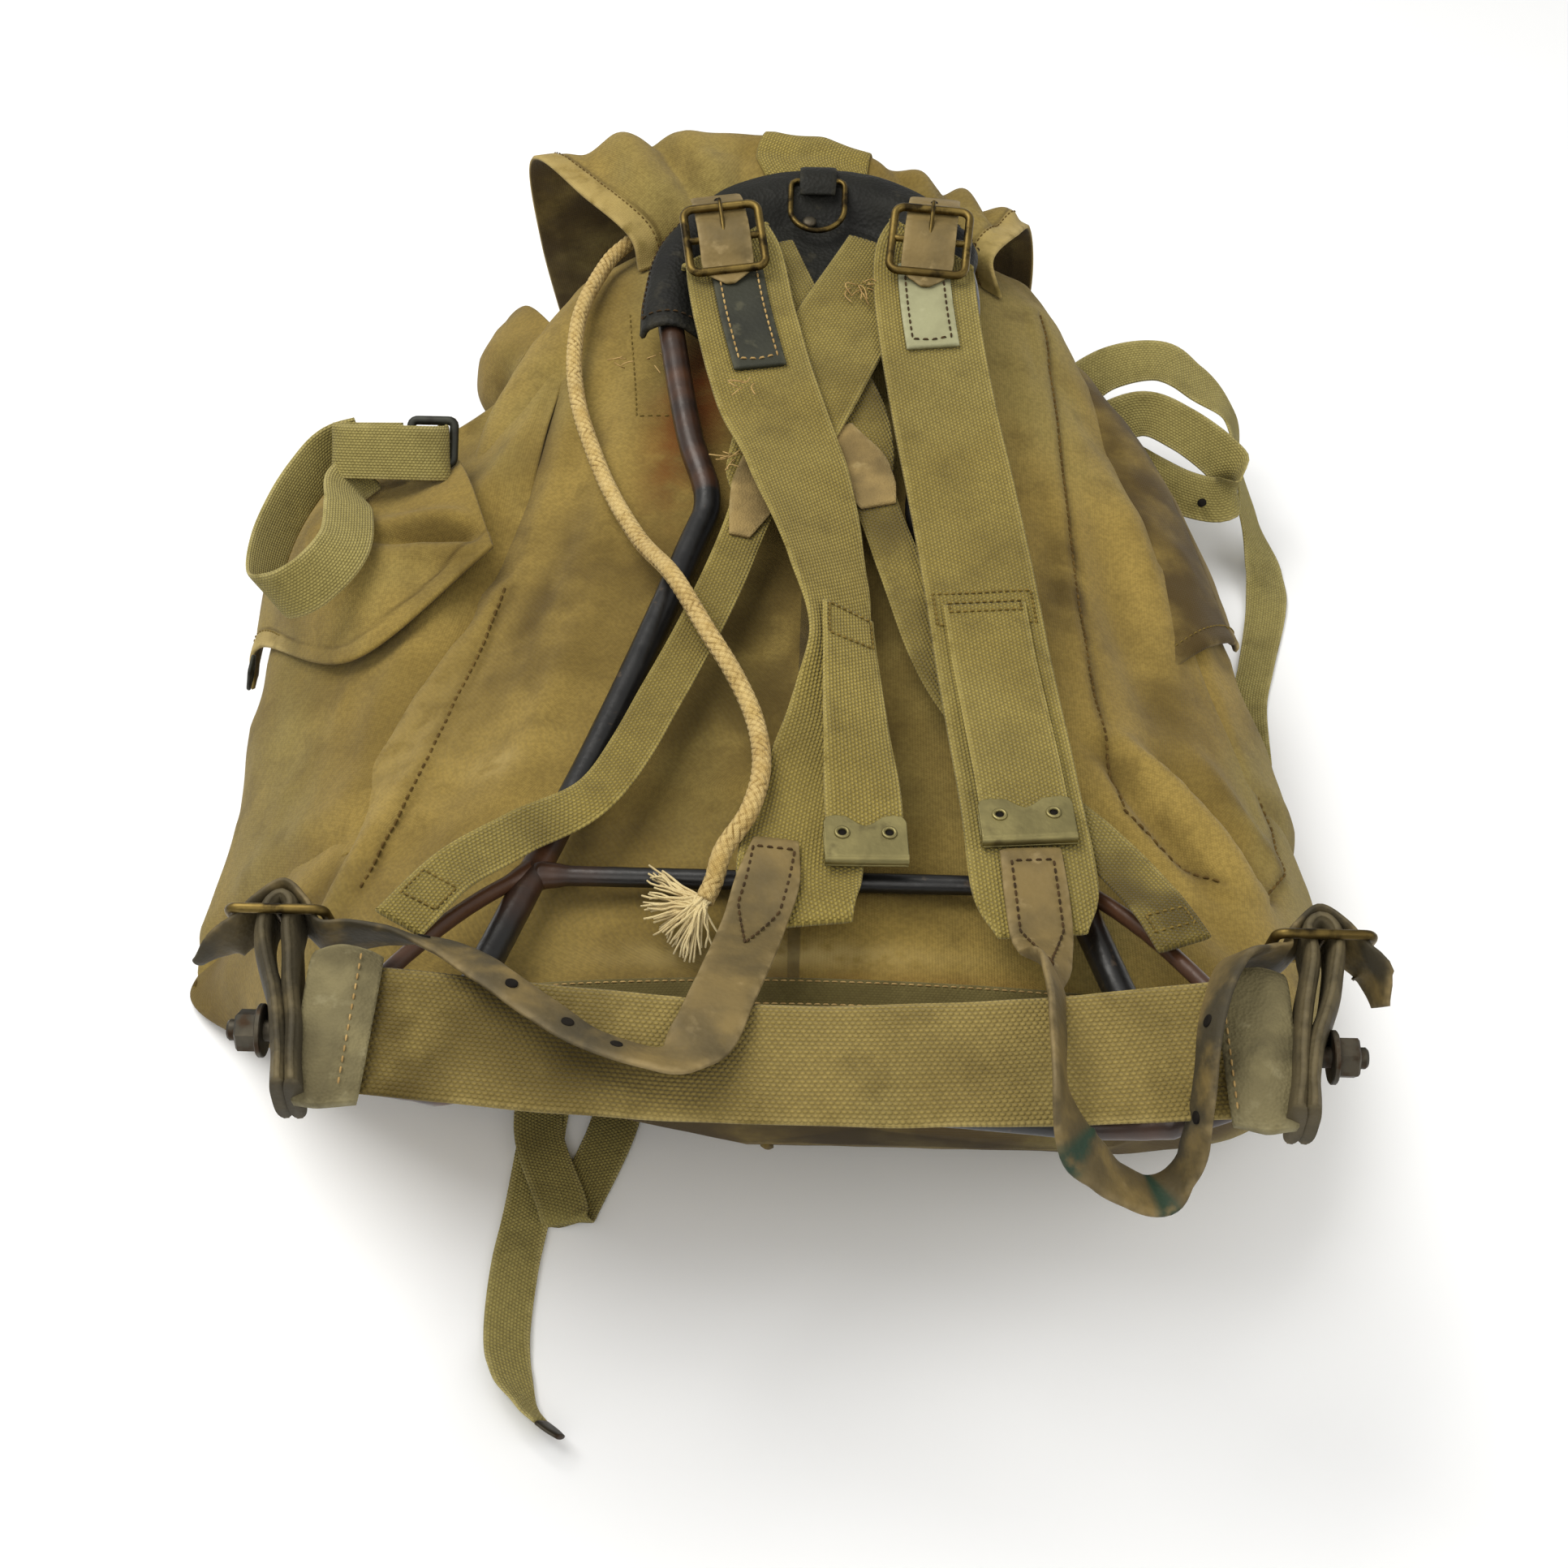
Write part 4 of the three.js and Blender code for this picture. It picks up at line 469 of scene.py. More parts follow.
class Look:
    """Procedural material built up in small steps."""

    def __init__(self, name, roughness, metallic, specular, sheen=0.0):
        self.name = name
        self.made = bpy.data.materials.new(name)
        self.made.use_nodes = True
        self.tree = self.made.node_tree
        self.shader = self.tree.nodes["Principled BSDF"]
        inputs = self.shader.inputs
        inputs["Roughness"].default_value = roughness
        inputs["Metallic"].default_value = metallic
        inputs["Specular IOR Level"].default_value = specular
        inputs["Sheen Weight"].default_value = sheen
        self.where = self.node("TexCoord").outputs["Object"]
        tone = self.node("Attribute", attribute_name="tone").outputs["Color"]
        self.faded, self.dirty, self.rusty = self.node("SeparateColor", {0: tone}).outputs[:3]

    def node(self, kind, values=None, **settings):
        """New node with its settings, and its inputs linked or filled in."""
        n = self.tree.nodes.new("ShaderNode" + kind)
        for key, value in settings.items():
            setattr(n, key, value)
        for key, value in (values or {}).items():
            self.put(n.inputs[key], value)
        return n

    def put(self, socket, value):
        if isinstance(value, bpy.types.NodeSocket):
            self.tree.links.new(value, socket)
        else:
            socket.default_value = (*value, 1) if socket.type == "RGBA" else value

    def math(self, operation, a, b):
        return self.node("Math", {0: a, 1: b}, operation=operation).outputs[0]

    def noise(self, size, detail, stretch=None):
        """Cloudy value from 0 to 1 with features of that size in millimetres."""
        where = self.where
        if stretch:
            where = self.node("Mapping", {"Vector": where, "Scale": stretch}).outputs[0]
        return self.node("TexNoise", {"Vector": where, "Scale": 1000 / size, "Detail": detail}).outputs[0]

    def step(self, value, low, high):
        values = {"Value": value, "From Min": low, "From Max": high}
        return self.node("MapRange", values, interpolation_type="SMOOTHSTEP").outputs[0]

    def mix(self, share, a, b):
        return self.node("Mix", {0: share, 6: a, 7: b}, data_type="RGBA").outputs[2]

    def patches(self, colour, other, size, detail, low, high, share=1.0, stretch=None):
        """Colour with cloudy patches of another one laid over it, up to that share."""
        cover = self.step(self.noise(size, detail, stretch), low, high)
        return self.mix(self.math("MULTIPLY", cover, share), colour, tint(*other))

    def threads(self, along, across):
        """Height of staggered threads that far apart along and across a strap, in millimetres."""
        uv = self.node("UVMap", uv_map="weave").outputs[0]
        x, y, _ = self.node("SeparateXYZ", {0: uv}).outputs
        y = self.math("MULTIPLY", y, 1000 / across)
        x = self.math("MULTIPLY", x, 1000 / along)
        x = self.math("ADD", x, self.math("MULTIPLY", self.math("FLOOR", y, 0.0), 0.5))
        height = 1.0
        for value in (x, y):
            off = self.math("SUBTRACT", self.math("FRACT", value, 0.0), 0.5)
            round_off = self.math("MULTIPLY", self.math("MULTIPLY", off, off), 3.6)
            height = self.math("SUBTRACT", height, round_off)
        return self.math("MAXIMUM", height, 0.0)

    def bump(self, height, depth, strength=1.0):
        """Relief of that depth in millimetres, added to any laid on before."""
        normal = self.shader.inputs["Normal"]
        values = {"Strength": strength, "Distance": depth * MM, "Height": height}
        if normal.is_linked:
            values["Normal"] = normal.links[0].from_socket
        self.put(normal, self.node("Bump", values).outputs[0])

    def rough(self, value, low, high):
        n = self.node("MapRange", {"Value": value, "To Min": low, "To Max": high})
        self.put(self.shader.inputs["Roughness"], n.outputs[0])

    def colour(self, value):
        self.put(self.shader.inputs["Base Color"], value)
        LOOKS[self.name] = self.made


def cloth_look(name, base, other, faded, dirty, weave, depth, cast=None, gaps=0.3):
    look = Look(name, 0.92, 0, 0.1, 0.08)
    colour = look.patches(tint(*base), other, 95, 4, 0.36, 0.62)
    colour = look.patches(colour, cast or base, 170, 4, 0.46, 0.66, 0.75, (1.3, 0.8, 1))
    colour = look.patches(colour, dirty, 22, 5, 0.5, 0.75, 0.36)
    colour = look.patches(colour, dirty, 1.8, 2, 0.35, 0.65, 0.24)
    thread = look.threads(*weave)
    between = look.math("MULTIPLY", look.math("SUBTRACT", 1.0, thread), gaps)
    colour = look.mix(between, colour, tint(*dirty))
    colour = look.patches(colour, faded, 9, 4, 0.25, 0.6, look.faded)
    # Second tone share: grime on some pieces, painted shade on others (base, inner faces, fold valleys,
    # shaded straps).
    colour = look.patches(colour, dirty, 30, 5, 0.15, 0.6, look.dirty)
    colour = look.patches(colour, RUST_STAIN, 18, 5, 0.2, 0.6, look.rusty)
    look.bump(look.noise(7, 4), 0.5, 0.5)
    look.bump(thread, depth)
    look.colour(colour)


def leather_look(name, base, other, worn, roughness, grain=2.2, depth=0.25, specular=0.3):
    """Leather: the third tone is green paint."""
    look = Look(name, roughness, 0, specular)
    colour = look.patches(tint(*base), other, 28, 5, 0.38, 0.66)
    colour = look.patches(colour, worn, 6, 5, 0.3, 0.65, look.faded)
    colour = look.patches(colour, worn, 11, 8, 0.6, 0.72, 0.55)
    colour = look.patches(colour, LEATHER_GRIME, 14, 4, 0.2, 0.6, look.dirty)
    colour = look.patches(colour, GREEN_PAINT, 7, 5, 0.25, 0.55, look.rusty)
    cells = look.node("TexVoronoi", {"Vector": look.where, "Scale": 1000 / grain})
    look.bump(look.noise(12, 6), 0.9, 0.55)
    look.bump(cells.outputs["Distance"], depth, 0.7)
    look.rough(look.noise(20, 5), roughness - 0.14, roughness + 0.16)
    look.colour(colour)


def metal_look(name, base, other, tarnish, roughness, metallic=1.0, patch=9, cover=(0.48, 0.66)):
    look = Look(name, roughness, metallic, 0.5)
    colour = look.patches(tint(*base), other, 16, 4, 0.35, 0.65)
    colour = look.patches(colour, tarnish, patch, 6, *cover)
    colour = look.mix(look.rusty, colour, tint(*BARE_RUST))
    look.bump(look.noise(3, 5), 0.25, 0.5)
    look.rough(look.noise(7, 5), roughness - 0.12, roughness + 0.22)
    look.colour(colour)


def plain_look(name, base, other, size=4.0):
    look = Look(name, 0.9, 0, 0.15)
    look.colour(look.patches(tint(*base), other, size, 3, 0.35, 0.65))


# Cloth: colour, patches, faded, grime and painted shade, thread sizes, relief, cast and how dark the gaps are
cloth_look(
    "canvas", (155, 132, 69), (126, 106, 53), (176, 155, 98), (72, 57, 26), (1.2, 1.2), 0.14,
    (141, 127, 74), 0.14,
)
cloth_look(
    "webbing", (171, 153, 80), (157, 139, 70), (184, 167, 98), (88, 75, 34), (2.1, 1.6), 0.85,
    (163, 149, 85), 0.5,
)
cloth_look(
    "belt_weave", (160, 141, 82), (148, 130, 74), (174, 156, 100), (82, 69, 33), (2.3, 1.8), 0.65,
    (158, 144, 88), 0.4,
)
cloth_look(
    "thin_webbing", (176, 163, 98), (162, 149, 88), (190, 177, 120), (96, 86, 46), (1.8, 1.4), 0.6,
    (170, 159, 101), 0.42,
)
cloth_look("tape", (112, 102, 62), (98, 89, 52), (134, 122, 80), (64, 55, 29), (1.6, 1.1), 0.15)
cloth_look("rope", (204, 176, 110), (188, 158, 94), (224, 202, 146), (112, 86, 40), (1.1, 0.7), 0.2)
cloth_look("fray", (232, 220, 180), (218, 202, 154), (240, 232, 202), (170, 144, 94), (1.1, 0.7), 0.1)

# Leather and metal: colour, patches, worn or tarnished, roughness
leather_look("black_leather", (21, 21, 16), (15, 15, 12), (48, 45, 34), 0.62, 2.0, 0.5, 0.22)
leather_look("brown_leather", (117, 99, 58), (93, 79, 46), (150, 131, 90), 0.66)
leather_look("slate_leather", (44, 45, 35), (34, 35, 27), (78, 76, 58), 0.66)
leather_look("drab_leather", (84, 74, 50), (62, 55, 38), (116, 104, 74), 0.68)
leather_look("grey_leather", (122, 113, 80), (96, 88, 61), (150, 142, 108), 0.88, 1.3, 0.5)
leather_look("pale_leather", (146, 145, 111), (130, 128, 97), (168, 166, 134), 0.7)
leather_look("suede_patch", (146, 124, 78), (120, 101, 62), (166, 146, 100), 0.95, 1.0, 0.6)
metal_look("brass", (116, 98, 54), (88, 73, 40), (46, 38, 23), 0.42)
metal_look("bronze", (138, 129, 86), (122, 114, 76), (92, 84, 56), 0.42, 0.85, 9, (0.55, 0.8))
metal_look("steel", (84, 78, 66), (60, 57, 50), (58, 43, 29), 0.5, 0.85)
metal_look("dark_steel", (52, 53, 44), (40, 41, 35), (32, 30, 24), 0.5, 0.5)
metal_look("paint", (22, 22, 22), (15, 15, 16), (58, 48, 38), 0.3, 0.1, 6, (0.64, 0.72))

# Threads, the dark inside of holes and the floor
plain_look("dark_thread", (102, 81, 40), (78, 60, 29))
plain_look("olive_thread", (120, 101, 50), (98, 82, 40))
plain_look("brown_thread", (74, 56, 34), (54, 42, 28))
plain_look("pale_thread", (178, 150, 98), (150, 122, 76))
plain_look("hole", (26, 22, 17), (18, 15, 12))
plain_look("floor", (246, 248, 252), (244, 246, 250), 400)

# Rope: drawstring from the lid down over the frame leg to its frayed end
ROPE = table(
    "x y z",
    (-102, 383, 162), (-113, 366, 160), (-123, 325, 160), (-124, 287, 158), (-119, 251, 157),
    (-109, 216, 156), (-97, 182, 156.5), (-80, 141, 163), (-62, 101, 178), (-45, 63, 181),
    (-32, 38, 179), (-22, 12, 177), (-18, -20, 182), (-22, -46, 183), (-32, -61, 175.5),
    (-35.5, -73, 170), (-39, -82, 168),
)
FRAY_HEAD = np.array([-41.2, -86.6, 167])
LOCKS = table(
    "x y z bend",
    (-58, -63, 166, 3), (-61, -70, 165, 3), (-62, -78, 163, 3), (-58, -84, 161, 4),
    (-55, -90, 158, 5), (-50, -95, 156.5, 5), (-45, -101, 155.5, 6), (-35, -96, 158, 4),
)
ROPE_CORE = 3.4
BRAID_RISE = 0.75
BRAID_TURN = 26
STRANDS = 6
FRAY_THREADS = 84


def make_rope():
    """Braided cord: two sets of six strands wound against each other, each over and under the other."""
    u, length = even(ROPE, 0.7)
    p = spline(xyz(ROPE), u)
    sides = 36
    a = np.linspace(0, 1, sides, endpoint=False)[None]
    s = np.linspace(0, length, len(u))[:, None] / BRAID_TURN
    one = STRANDS * (a + s)
    two = STRANDS * (a - s)
    fx = (one % 1 - 0.5) * 2
    fy = (two % 1 - 0.5) * 2
    over = (np.floor(one) + np.floor(two)) % 2 == 0
    crown = np.sqrt(1 - fx**2) * (0.75 + 0.25 * np.cos(fy * math.pi / 2))
    h = np.where(over, crown, np.sqrt(1 - fy**2))
    body = Body()
    # Strand crowns paler, grooves between strands darker.
    groove = np.clip(1.1 - 1.3 * h, 0, 1)
    tube(body, p, ROPE_CORE + BRAID_RISE * h, sides, tone=np.stack([0.4 * h, groove, 0 * h], -1))
    rope = body.make("rope", "rope", "rope")
    fray = Body()
    tips = xyz(LOCKS)
    for _ in range(FRAY_THREADS):
        t = CHANCE.uniform(0, 1)
        tip = spline(tips, np.array([t]))[0] + CHANCE.normal(0, 2.2, 3) * [1, 1, 0.5]
        bend = np.interp(t * 7, np.arange(8), LOCKS["bend"])
        q = np.linspace(0, 1, 13)[:, None]
        root = p[-1] + CHANCE.normal(0, 1.3, 3)
        heart = FRAY_HEAD + CHANCE.normal(0, 1.5, 3)
        line = (1 - q) ** 2 * root + 2 * q * (1 - q) * (heart * 0.75 + tip * 0.25) + q * q * tip
        line[:, 2] += bend * 0.5 * np.sin(math.pi * q[:, 0])
        phase = CHANCE.uniform(0, 6)
        line += np.sin(q * 15 + phase) * q * CHANCE.normal(0, 0.5, 3)
        tube(fray, line, 0.78 - 0.35 * q[:, 0], 5)
    loose = fray.make("rope_fray", "fray", "rope")


make_rope()

# Sack: sections from the base to the mouth. Half-widths and heights of the seam (s), the widest place (o)
# and the floor (f), on the left (l) and right (r)
SACK = table(
    "y top f sl zsl ol zol fl sr zsr or zor fr",
    (-142, 122, 86, 60, 120, 85, 108, 24, 120, 119, 142, 104, 112),
    (-122, 143, 57, 130, 131, 160, 106, 24, 158, 131, 190, 96, 152),
    (-92, 150, 32, 176, 129, 208, 78, 70, 176, 133, 216, 80, 182),
    (-55, 152, 9, 190, 122, 246, 42, 190, 178, 130, 230, 68, 198),
    (-15, 152.5, 0, 188, 120, 274, 20, 258, 165, 130, 234, 62, 206),
    (20, 152.5, 0, 176, 122, 268, 22, 250, 148, 132, 234, 60, 206),
    (80, 153.5, 0, 160, 126, 244, 34, 220, 137, 134, 220, 66, 195),
    (150, 156, 0, 146, 131, 220, 46, 190, 129, 136, 197, 78, 175),
    (220, 162, 0, 140, 135, 200, 60, 165, 125, 138, 178, 88, 155),
    (290, 168, 0, 134, 140, 180, 74, 145, 121, 142, 154, 98, 133),
    (350, 171, 0, 124, 146, 162, 84, 128, 112, 145, 134, 104, 112),
    (390, 168, 0, 112, 142, 146, 84, 112, 102, 140, 118, 104, 98),
)
FOLDS = table(
    "x0 y0 x1 y1 w h",
    (-130, 330, -185, 120, 16, 6), (-105, 300, -160, 60, 14, -5), (-88, 250, -150, 20, 15, 5),
    (-150, 40, -196, -60, 16, -6), (100, 320, 118, 90, 14, -4), (150, 260, 190, 60, 18, 5),
    (150, 20, 205, -50, 12, 6), (130, -10, 190, -80, 12, -6),
)
FINE_FOLDS = table(
    "x0 y0 x1 y1 w h",
    (-136, 292, -160, 160, 12, -6.5), (-118, 292, -140, 120, 10, 4.5), (-150, 330, -176, 230, 10, 5),
    (-150, 140, -205, 20, 8, 4), (-166, 130, -224, 40, 9, -7), (-110, 200, -150, 40, 10, -3),
    (-100, 130, -130, 0, 9, 3), (-236, 70, -246, 10, 7, -4), (-226, 84, -232, 10, 7, 3.5),
    (-196, 10, -226, -60, 9, -4), (-186, 20, -206, -50, 7, 3.5), (128, 40, 176, -40, 6, -6.5),
    (142, 44, 196, -30, 7, 6.5), (158, 50, 206, -14, 6, -5), (176, 60, 214, 4, 7, 4),
    (112, -20, 150, -70, 7, -4), (104, 330, 112, 200, 9, 3), (140, 200, 160, 60, 10, -3),
    (150, 250, 176, 120, 9, 3), (-70, 330, -84, 250, 8, -2),
)
SEAM_LEFT = [(-144, 141), (-146.5, 130), (-157, 88), (-168.8, 41.7), (-181, -2), (-191, -37)]
SEAM_RIGHT = [
    (117, 352), (119.5, 333), (123, 240), (126.8, 149), (130, 70), (138.6, 0), (158, -20), (178.7, -32),
]
SEAM_FAR = [(176, 178), (190, 121), (205, 80), (214.7, 41), (214, 5), (204, -22)]
SEAMS = (SEAM_LEFT, SEAM_RIGHT, SEAM_FAR)
SACK_ROWS = 160
SACK_ROUND = 280
CAP_ROWS = 11
CAP_BULGE = 4
UPPER = 0.24
FAN_TOP = 520
FAN_REACH = 420
PANEL_EDGE = 0.245
PANEL_STEPS = 400
SACK_SPOTS = table(
    "x y rx ry faded dirty rusty",
    (135, 90, 10, 50, 0, 0.3, 0), (119, 150, 12, 46, 0, 0.8, 0), (-120, 120, 30, 60, 0, 0.55, 0),
    (0, -60, 110, 10, 0, 0.5, 0), (-10, 70, 75, 120, 0, 0.75, 0), (-70, 200, 14, 90, 0, 0.5, 0),
    (170, 87, 20, 45, 0, 0.6, 0), (-142, 249, 14, 45, 0, 0.4, 0), (-10, -94, 56, 6, 1, 0, 0),
    (-137, 22, 9, 8, 0.6, 0, 0), (-200, 60, 40, 60, 0.3, 0, 0), (-56, 262, 15, 50, 0, 0, 1),
    (-72, 215, 12, 45, 0, 0, 0.6), (60, -110, 90, 9, 0, 0, 0.35),
)


def off_line(x, y, x0, y0, x1, y1):
    """Nearest place on a line, from 0 to 1 along it, and the distance to it."""
    dx = x1 - x0
    dy = y1 - y0
    t = np.clip(((x - x0) * dx + (y - y0) * dy) / (dx * dx + dy * dy), 0, 1)
    return t, np.hypot(x - x0 - t * dx, y - y0 - t * dy)


def fold_rise(x, y, folds):
    """Height of a set of folds, each a soft ridge or groove along a line."""
    rise = np.zeros_like(x)
    for *line, w, h in zip(*folds.values()):
        t, gap = off_line(x, y, *line)
        rise += h * np.exp(-((gap / w) ** 2)) * np.sin(math.pi * (0.12 + 0.76 * t))
    return rise


def sack_point(u, s):
    """Point of the sack at u from base to mouth and s round the section, from the top of the panel."""
    u, s = np.broadcast_arrays(np.asarray(u, float), np.asarray(s, float))
    c = {key: spline(SACK[key], u) for key in SACK}
    zero = np.zeros_like(u)
    across = np.stack([zero, c["sr"], c["or"], c["fr"], zero, -c["fl"], -c["ol"], -c["sl"]])
    height = np.stack([c["top"], c["zsr"], c["zor"], c["f"], c["f"], c["f"], c["zol"], c["zsl"]])
    at = (s % 1) * 8
    i = np.floor(at).astype(int)
    t = at - i

    def mix(keys):
        return cubic(*(np.take_along_axis(keys, ((i + n) % 8)[None], 0)[0] for n in (-1, 0, 1, 2)), t)

    x = mix(across)
    z = np.maximum(mix(height), np.maximum(c["f"], 0))
    upper = (at < 1.9) | (at > 6.1)
    z = z + np.where(upper, fold_rise(x, c["y"], FOLDS) * np.clip((z - 50) / 50, 0, 1), 0)
    return np.stack([x, c["y"], z], -1)


def sack_normal(u, s):
    u, s = np.broadcast_arrays(np.asarray(u, float), np.asarray(s, float))
    a = sack_point(u, s + STEP) - sack_point(u, s - STEP)
    b = sack_point(np.minimum(u + STEP, 1), s) - sack_point(np.maximum(u - STEP, 0), s)
    return unit(np.cross(a, b))


def on_sack(u, s, lift):
    """Points that far off the sack, kept above the floor."""
    p = sack_point(u, s) + sack_normal(u, s) * np.asarray(lift, float)[..., None]
    p[..., 2] = np.maximum(p[..., 2], CANVAS / 2 + 0.1)
    return p


FINE = np.linspace(0, 1, 3000)
ALONG = spline(SACK["y"], FINE)


def sack_at(y):
    """Place from base to mouth, 0 to 1, of a section at y."""
    return np.interp(y, ALONG, FINE)


def near_line(x, y, line):
    """Distance from a broken line on the panel, signed by its side."""
    best = np.full(np.shape(x), 1e9)
    signed = np.zeros(np.shape(x))
    for (x0, y0), (x1, y1) in zip(line[:-1], line[1:]):
        _, gap = off_line(x, y, x0, y0, x1, y1)
        turn = np.sign((x - x0) * (y1 - y0) - (y - y0) * (x1 - x0))
        signed = np.where(gap < best, gap * turn, signed)
        best = np.minimum(best, gap)
    return signed


def seam_rise(x, y):
    """Raised edge beside each seam, with a groove in front of it."""
    rise = np.zeros_like(x)
    for line in SEAMS:
        d = near_line(x, y, line)
        rise += 1.3 * smooth(d, -1.5, 1.0) * smooth(9 - d, 0, 3) - 0.9 * np.exp(-((d + 1.5) / 1.6) ** 2)
    return rise


def sack_relief(p, upper):
    """Small folds, creases and seams of the canvas above its main form."""
    x, y, z = p[..., 0], p[..., 1], p[..., 2]
    free = smooth(np.abs(x), 70, 150)
    above = FAN_TOP - y
    fan = np.stack([np.arctan2(x, above) * FAN_REACH, np.hypot(x, above) / 5, 0 * x], -1)
    ripple = bumps(fan, 34, 3.1) * (0.5 + 2.4 * free)
    crumple = -np.abs(bumps(p * [1, 0.6, 1], 38, 8.2)) * (0.4 + 2.0 * free)
    small = bumps(p, 15, 1.7) * (0.2 + 0.35 * free)
    soft = (ripple + crumple + small) * smooth(z, 3, 40)
    return soft + np.where(upper, seam_rise(x, y) + 1.4 * fold_rise(x, y, FINE_FOLDS), 0)


def make_sack():
    u = np.linspace(0, 1, SACK_ROWS)[:, None]
    s = np.linspace(0, 1, SACK_ROUND, endpoint=False)[None]
    p = sack_point(u, s)
    n = sack_normal(u, s)
    upper = np.broadcast_to((s < UPPER) | (s > 1 - UPPER), p.shape[:2])
    p = p + n * sack_relief(p, upper)[..., None]
    p[..., 2] = np.maximum(p[..., 2], 0)
    wide = np.concatenate([p[:, -1:], p, p[:, :1]], 1)
    n = unit(np.cross(np.gradient(wide, axis=1), np.gradient(wide, axis=0)))[:, 1:-1]
    inner = p - n * CANVAS
    inner[..., 2] = np.maximum(inner[..., 2], CANVAS)
    mouth = (p[-1] + inner[-1]) / 2 + [0, CANVAS / 2, 0]
    base = p[0].mean(0)
    shrink = np.linspace(0.02, 1, CAP_ROWS + 1)[:-1, None, None]
    cap = base + (p[0] - base) * shrink - [0, CAP_BULGE, 0] * (1 - shrink**2)
    cap = cap + [0, 1, 0] * bumps(cap, 25, 2.0)[..., None] * (1 - shrink)
    inside = cap + [0, CANVAS, 0]
    rows = np.concatenate([cap, p, mouth[None], inner[::-1], inside[::-1]])
    x, y, z = p[..., 0], p[..., 1], p[..., 2]
    tone = np.zeros(p.shape)
    for cx, cy, rx, ry, *shares in zip(*SACK_SPOTS.values()):
        spot = np.exp(-(((x - cx) / rx) ** 2) - ((y - cy) / ry) ** 2) * upper
        tone += spot[..., None] * shares
    seams = sum(np.exp(-((near_line(x, y, line) + 0.6) / 2.4) ** 2) for line in SEAMS) * upper
    # Painted shade in the valleys of the fine folds.
    crease_shade = np.clip(-fold_rise(x, y, FINE_FOLDS) / 4, 0, 1) * upper
    tone[..., 1] += 0.55 * np.clip(seams, 0, 1) + 0.4 * crease_shade
    # Darker near the floor, and painted shade over the base below the belt.
    tone[..., 1] += 0.6 * (1 - smooth(z, 0, 60)) + 1.4 * (1 - smooth(y, -138, -108))
    tones = np.zeros(rows.shape)
    # Painted shade: base cap dark, and the inner face nearly as dark.
    tones[:CAP_ROWS] = [0, 1, 0]
    tones[CAP_ROWS : CAP_ROWS + SACK_ROWS] = np.clip(tone, 0, 1)
    tones[CAP_ROWS + SACK_ROWS + 1 :] = [0, 0.8, 0]
    around = np.linalg.norm(np.diff(rows, axis=1, append=rows[:, :1]), axis=2)
    girth = np.cumsum(around, 1) - around
    length = np.cumsum(np.concatenate([[0], np.linalg.norm(np.diff(rows, axis=0), axis=2).mean(1)]))
    uv = np.stack([np.broadcast_to(length[:, None], girth.shape), girth], -1)
    body = Body()
    count = len(rows)
    ends = [np.arange(SACK_ROUND)[None], (count - 1) * SACK_ROUND + np.arange(SACK_ROUND)[None, ::-1]]
    body.add(rows, [quads(count, SACK_ROUND, False, True)] + ends, uv, tones)
    body.make("sack", "canvas", "canvas")


make_sack()


def panel(line, lift, pitch=2.0):
    """Points and directions on the dressed back panel along a broken line of (x, y)."""
    path = resampled(line, pitch)
    u = sack_at(path[:, 1])
    around = np.linspace(-PANEL_EDGE, PANEL_EDGE, PANEL_STEPS)
    across = [sack_point(np.full(PANEL_STEPS, a), around)[:, 0] for a in u]
    s = np.array([np.interp(x, row, around) for x, row in zip(path[:, 0], across)])
    p = sack_point(u, s)
    n = sack_normal(u, s)
    return p + n * (sack_relief(p, np.ones(len(p), bool)) + lift)[:, None], n


# Lid: a hood sewn to the back panel, over the ridge to the floor
LID_SEAM = table("s y", (-0.093, 364), (-0.06, 376), (0, 380), (0.06, 374), (0.1, 352))
LID = [
    on_sack(sack_at(LID_SEAM["y"]), LID_SEAM["s"], np.full(5, CANVAS / 2 + 0.4)),
    [[-101, 375, 171], [-60, 394, 177], [-2, 404, 179], [55, 387, 177], [90, 358, 173]],
    [[-126, 405, 174], [-86, 424, 185], [-2, 424, 187], [58, 402, 182], [104, 388, 168]],
    [[-161, 456, 165], [-80, 458, 178], [0, 448, 182], [62, 426, 170], [115, 430, 142]],
    [[-163, 480, 95], [-80, 492, 100], [0, 490, 100], [68, 464, 92], [119, 440, 98]],
    [[-156, 512, 3], [-78, 514, 2], [0, 515, 2], [70, 490, 2], [114, 444, 40]],
]


def hemmed(grid, nu, nv, hems, relief, width=HEM):
    """Grid of a hemmed piece, its thickness, tones and relief; hems name the sides sewn over."""
    u = np.linspace(0, 1, nu)
    v = np.linspace(0, 1, nv)
    p = grid(u, v)
    n = normals_of(p) * outward(p)
    du = np.linalg.norm(np.gradient(p, axis=0), axis=2)
    dv = np.linalg.norm(np.gradient(p, axis=1), axis=2)
    far = {
        "start": np.cumsum(du, 0) - du, "end": np.cumsum(du[::-1], 0)[::-1] - du,
        "left": np.cumsum(dv, 1) - dv, "right": np.cumsum(dv[:, ::-1], 1)[:, ::-1] - dv,
    }
    away = np.min([far[h] for h in hems], 0) if hems else np.full(du.shape, 99.0)
    fold = smooth(width - away, 0, 1.5)
    pucker = np.exp(-(((away - width) / 2.5) ** 2)) * (0.5 + 0.5 * bumps(p, 7, 5.5))
    height = relief(p) * smooth(np.min(list(far.values()), 0), 0, 14)
    p = p + n * (height - 0.5 * pucker)[..., None]
    p[..., 2] = np.maximum(p[..., 2], HEM_FLOOR)
    thick = CANVAS * (0.8 + 0.55 * fold)
    faded = np.clip(0.5 * fold * (away < width) + 0.5 * np.exp(-away / 2.0), 0, 1)
    dirty = 0.6 * np.exp(-(((away - width - 0.5) / 1.2) ** 2)) + 0.25 * (0.5 + bumps(p, 40, 9.0))
    tone = np.stack([faded, np.clip(dirty, 0, 1), np.zeros_like(faded)], -1)
    return p, thick, tone


